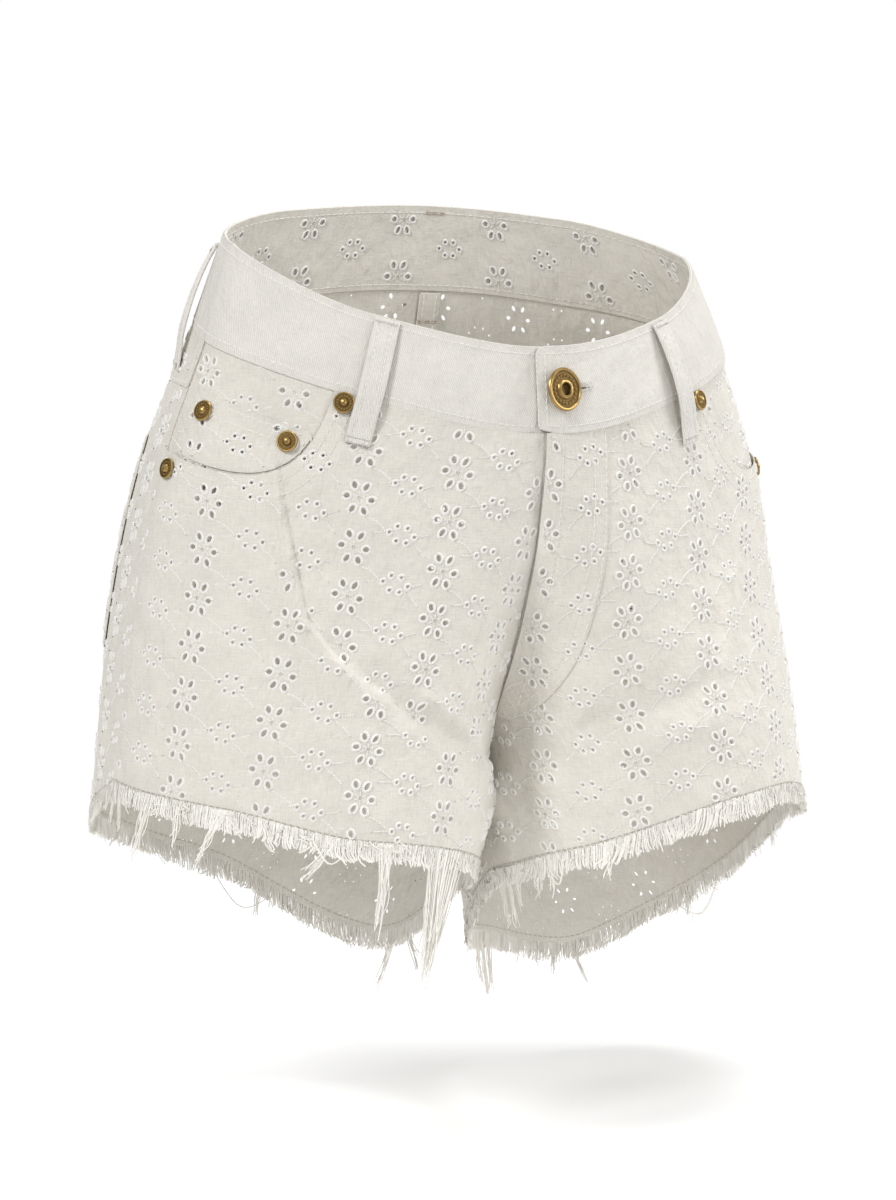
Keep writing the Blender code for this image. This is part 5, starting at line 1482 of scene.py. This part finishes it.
for loop in LOOPS:
    section = loop_section()
    ring = len(section)
    points = loop_points(loop, LOOP_STATIONS, *np.transpose(section))[0].reshape(-1, 3)
    faces = grid_faces(0, LOOP_STATIONS, ring, ring=True)
    faces += [list(range(ring))[::-1], list(range((LOOP_STATIONS - 1) * ring, LOOP_STATIONS * ring))]
    uvs = np.column_stack([np.tile(run_along(np.array(section)), LOOP_STATIONS),
                           np.repeat(np.linspace(0, LOOP_CUT_LENGTH, LOOP_STATIONS), ring)])
    a, b, c = points[faces[5][:3]]
    if np.dot(np.cross(b - a, c - a), points[5] - points[16]) < 0:
        faces = [face[::-1] for face in faces]
    strip = new_mesh(f"belt_loop_{loop.name}_cloth", points, faces, TWILL, uvs)
    strip["flat_area"] = LOOP_CUT_WIDTH * MM * LOOP_CUT_LENGTH * MM
    runs = []
    for row in LOOP_ROWS:
        line, up = loop_points(loop, 90, [row], [LOOP_WALL - 0.15])
        runs.append((line[3:-3, 0], up[3:-3, 0]))
    lines, ups = loop_points(loop, 124, np.linspace(-5.2, 5.2, 12), np.full(12, LOOP_WALL + 0.1))
    tacked = np.concatenate([np.arange(0.8, 2.6, 0.42), np.arange(58.6, 60.8, 0.42)])
    bars = [(lines[int(level * 2)], ups[int(level * 2)]) for level in tacked]
    stitches = topstitches(f"belt_loop_{loop.name}_stitches", runs)
    bartacks = thread_lines(f"belt_loop_{loop.name}_bartacks", bars, 0.55, 0.3, TOPSTITCH)
    declare(strip, f"belt_loop_{loop.name}", [stitches, bartacks])

# ---- Button and rivets
# A hollow-centred shank button of aged brass, with a ring of small raised dots between two rims, is
# knocked in through the band. Burr rivets of the same brass hold the corners of the pockets.

Turn = namedtuple("Turn", "radius height")
BUTTON_BASE = BAND_OUTER + LAP_LIFT + SEAM_GAP + 1.3
BUTTON_POST = Turn(3.2, BAND_OUTER + LAP_SINK + SEAM_GAP)
BUTTON_CAP = (
    Turn(3.2, 0.0),
    Turn(9.0, 0.0),
    Turn(9.9, 0.3),
    Turn(10.35, 0.8),
    Turn(10.4, 1.4),
    Turn(10.1, 2.0),
    Turn(9.6, 2.3),
    Turn(9.1, 2.25),
    Turn(8.8, 1.8),
    Turn(8.5, 1.5),
    Turn(4.9, 1.5),
    Turn(4.65, 1.9),
    Turn(4.45, 2.4),
    Turn(4.1, 2.7),
    Turn(3.6, 2.75),
    Turn(3.1, 2.5),
    Turn(2.85, 2.0),
    Turn(2.75, 0.9),
    Turn(2.4, 0.4),
    Turn(0.0, 0.3),
)
BUTTON_DARK = (9, 10, 16, 17, 18, 19)
BUTTON_LEAN = 0.27
RIVET_CAP = (
    Turn(2.4, 0.0),
    Turn(4.6, 0.0),
    Turn(5.0, 0.3),
    Turn(5.1, 0.6),
    Turn(5.0, 1.0),
    Turn(4.7, 1.35),
    Turn(4.3, 1.35),
    Turn(4.1, 1.05),
    Turn(2.2, 1.05),
    Turn(2.0, 1.4),
    Turn(1.85, 1.9),
    Turn(1.5, 2.35),
    Turn(1.0, 2.6),
    Turn(0.5, 2.75),
    Turn(0.0, 2.78),
)
RIVET_DARK = (7, 8)
DotRing = namedtuple("DotRing", "count radius size height")


def brass_finish(name, colour, rough):
    """Aged brass: warm, worn bright in places and browner in patches."""
    finish, tree, shader = new_finish(name, Metallic=1.0, Roughness=rough)
    cut = add_node(tree, "UVMap", uv_map="cut").outputs["UV"]
    patches = add_node(tree, "TexNoise", Vector=cut, Scale=0.7, Detail=5.0).outputs["Fac"]
    tint = add_node(tree, "Mix", data_type="RGBA", Factor=patches, A=tinted(colour, 0.55), B=tinted(colour))
    bump = add_node(tree, "Bump", Height=patches, Strength=0.3, Distance=0.0001)
    set_up(shader, Base_Color=tint.outputs["Result"], Normal=bump.outputs["Normal"])
    return finish


BRASS = brass_finish("aged_brass", (0.52, 0.35, 0.13), 0.36)
DARK_BRASS = brass_finish("dark_brass", (0.20, 0.13, 0.05), 0.5)


def turned(name, quarter, across, down, post, cap, base, ring, dark_rings, node, segments, lean=0.0):
    """A round stud on the form: its profile turned about the form's normal, with a ring of raised dots."""
    place = read_grid(quarter, np.array([across]), np.array([down]))[0]
    middle, up = place[0:3], place[3:6]
    up = unit(up + np.cross((0.0, 0.0, 1.0), up) * lean)
    first = unit(np.cross(up, (0.0, 0.0, 1.0)))
    second = np.cross(up, first)

    def spokes(count):
        turn = np.arange(count) * math.tau / count
        return first * np.cos(turn)[:, None] + second * np.sin(turn)[:, None]

    profile = (post, *(Turn(radius, base + height) for radius, height in cap))
    turn = np.arange(segments) * math.tau / segments
    points = [middle + spokes(segments) * r + up * h for r, h in profile]
    uvs = [np.column_stack([np.cos(turn) * r, np.sin(turn) * r]) + h for r, h in profile]
    faces = grid_faces(0, len(profile), segments, ring=True)
    dark = [k // segments in dark_rings for k in range(len(faces))]
    total = len(profile) * segments
    for k, spoke in enumerate(spokes(ring.count)):
        top = middle + spoke * ring.radius + up * (base + ring.height)
        points += [[top + up * ring.size * 0.75], top + spokes(6) * ring.size * 0.7 + up * ring.size * 0.45,
                   top + spokes(6) * ring.size - up * ring.size * 0.2]
        uvs.append(np.full((13, 2), math.tau * k / ring.count))
        for i in range(6):
            after = (i + 1) % 6
            faces += [(total, total + 1 + i, total + 1 + after),
                      (total + 1 + i, total + 7 + i, total + 7 + after, total + 1 + after)]
        total += 13
    dark += [False] * (len(faces) - len(dark))
    stud = new_mesh(name, np.concatenate(points), faces, BRASS, np.concatenate(uvs))
    stud.data.set_sharp_from_angle(angle=math.radians(24))
    stud.data.materials.append(DARK_BRASS)
    stud.data.polygons.foreach_set("material_index", np.array(dark, dtype=np.int32))
    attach(stud, "root")
    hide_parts(node)


turned("button_brass", FRONT_LEFT, 1.0 - BUTTON_FROM_CENTRE / QUARTER_RUN, WAIST_SEAM / 2, BUTTON_POST,
       BUTTON_CAP, BUTTON_BASE, DotRing(20, 6.75, 0.92, 1.55), BUTTON_DARK, "button", 64, BUTTON_LEAN)

Rivet = namedtuple("Rivet", "name quarter across fall foot lift")
# foot is how far the post's foot stands off the form, and lift is how much higher the cap's edge is
COIN_TOP_FACE = FACING_OFF + LAID_GAP + COIN_WALL + SEAM_GAP
RIVETS = (
    Rivet("rivet_coin_outer", FRONT_RIGHT, 17.9, 30.0, COIN_TOP_FACE, 0.2),
    Rivet("rivet_coin_inner", FRONT_RIGHT, 64.2, 29.6, COIN_TOP_FACE, 0.2),
    Rivet("rivet_scoop_top_right", FRONT_RIGHT, 83.2, 4.6, SEAM_GAP, 1.1),
    Rivet("rivet_scoop_side_right", FRONT_RIGHT, 6.4, 62.5, SEAM_GAP, 0.2),
    Rivet("rivet_scoop_top_left", FRONT_LEFT, 74.2, 4.6, SEAM_GAP, 1.1),
    Rivet("rivet_scoop_side_left", FRONT_LEFT, 6.4, 62.5, SEAM_GAP, 0.2),
)
for rivet in RIVETS:
    across, down = (value[0] for value in spot(rivet.quarter, rivet.across, rivet.fall))
    turned(f"{rivet.name}_brass", rivet.quarter, across, down, Turn(2.4, rivet.foot), RIVET_CAP,
           rivet.foot + rivet.lift, DotRing(15, 3.15, 0.5, 1.08), RIVET_DARK, rivet.name, 40)
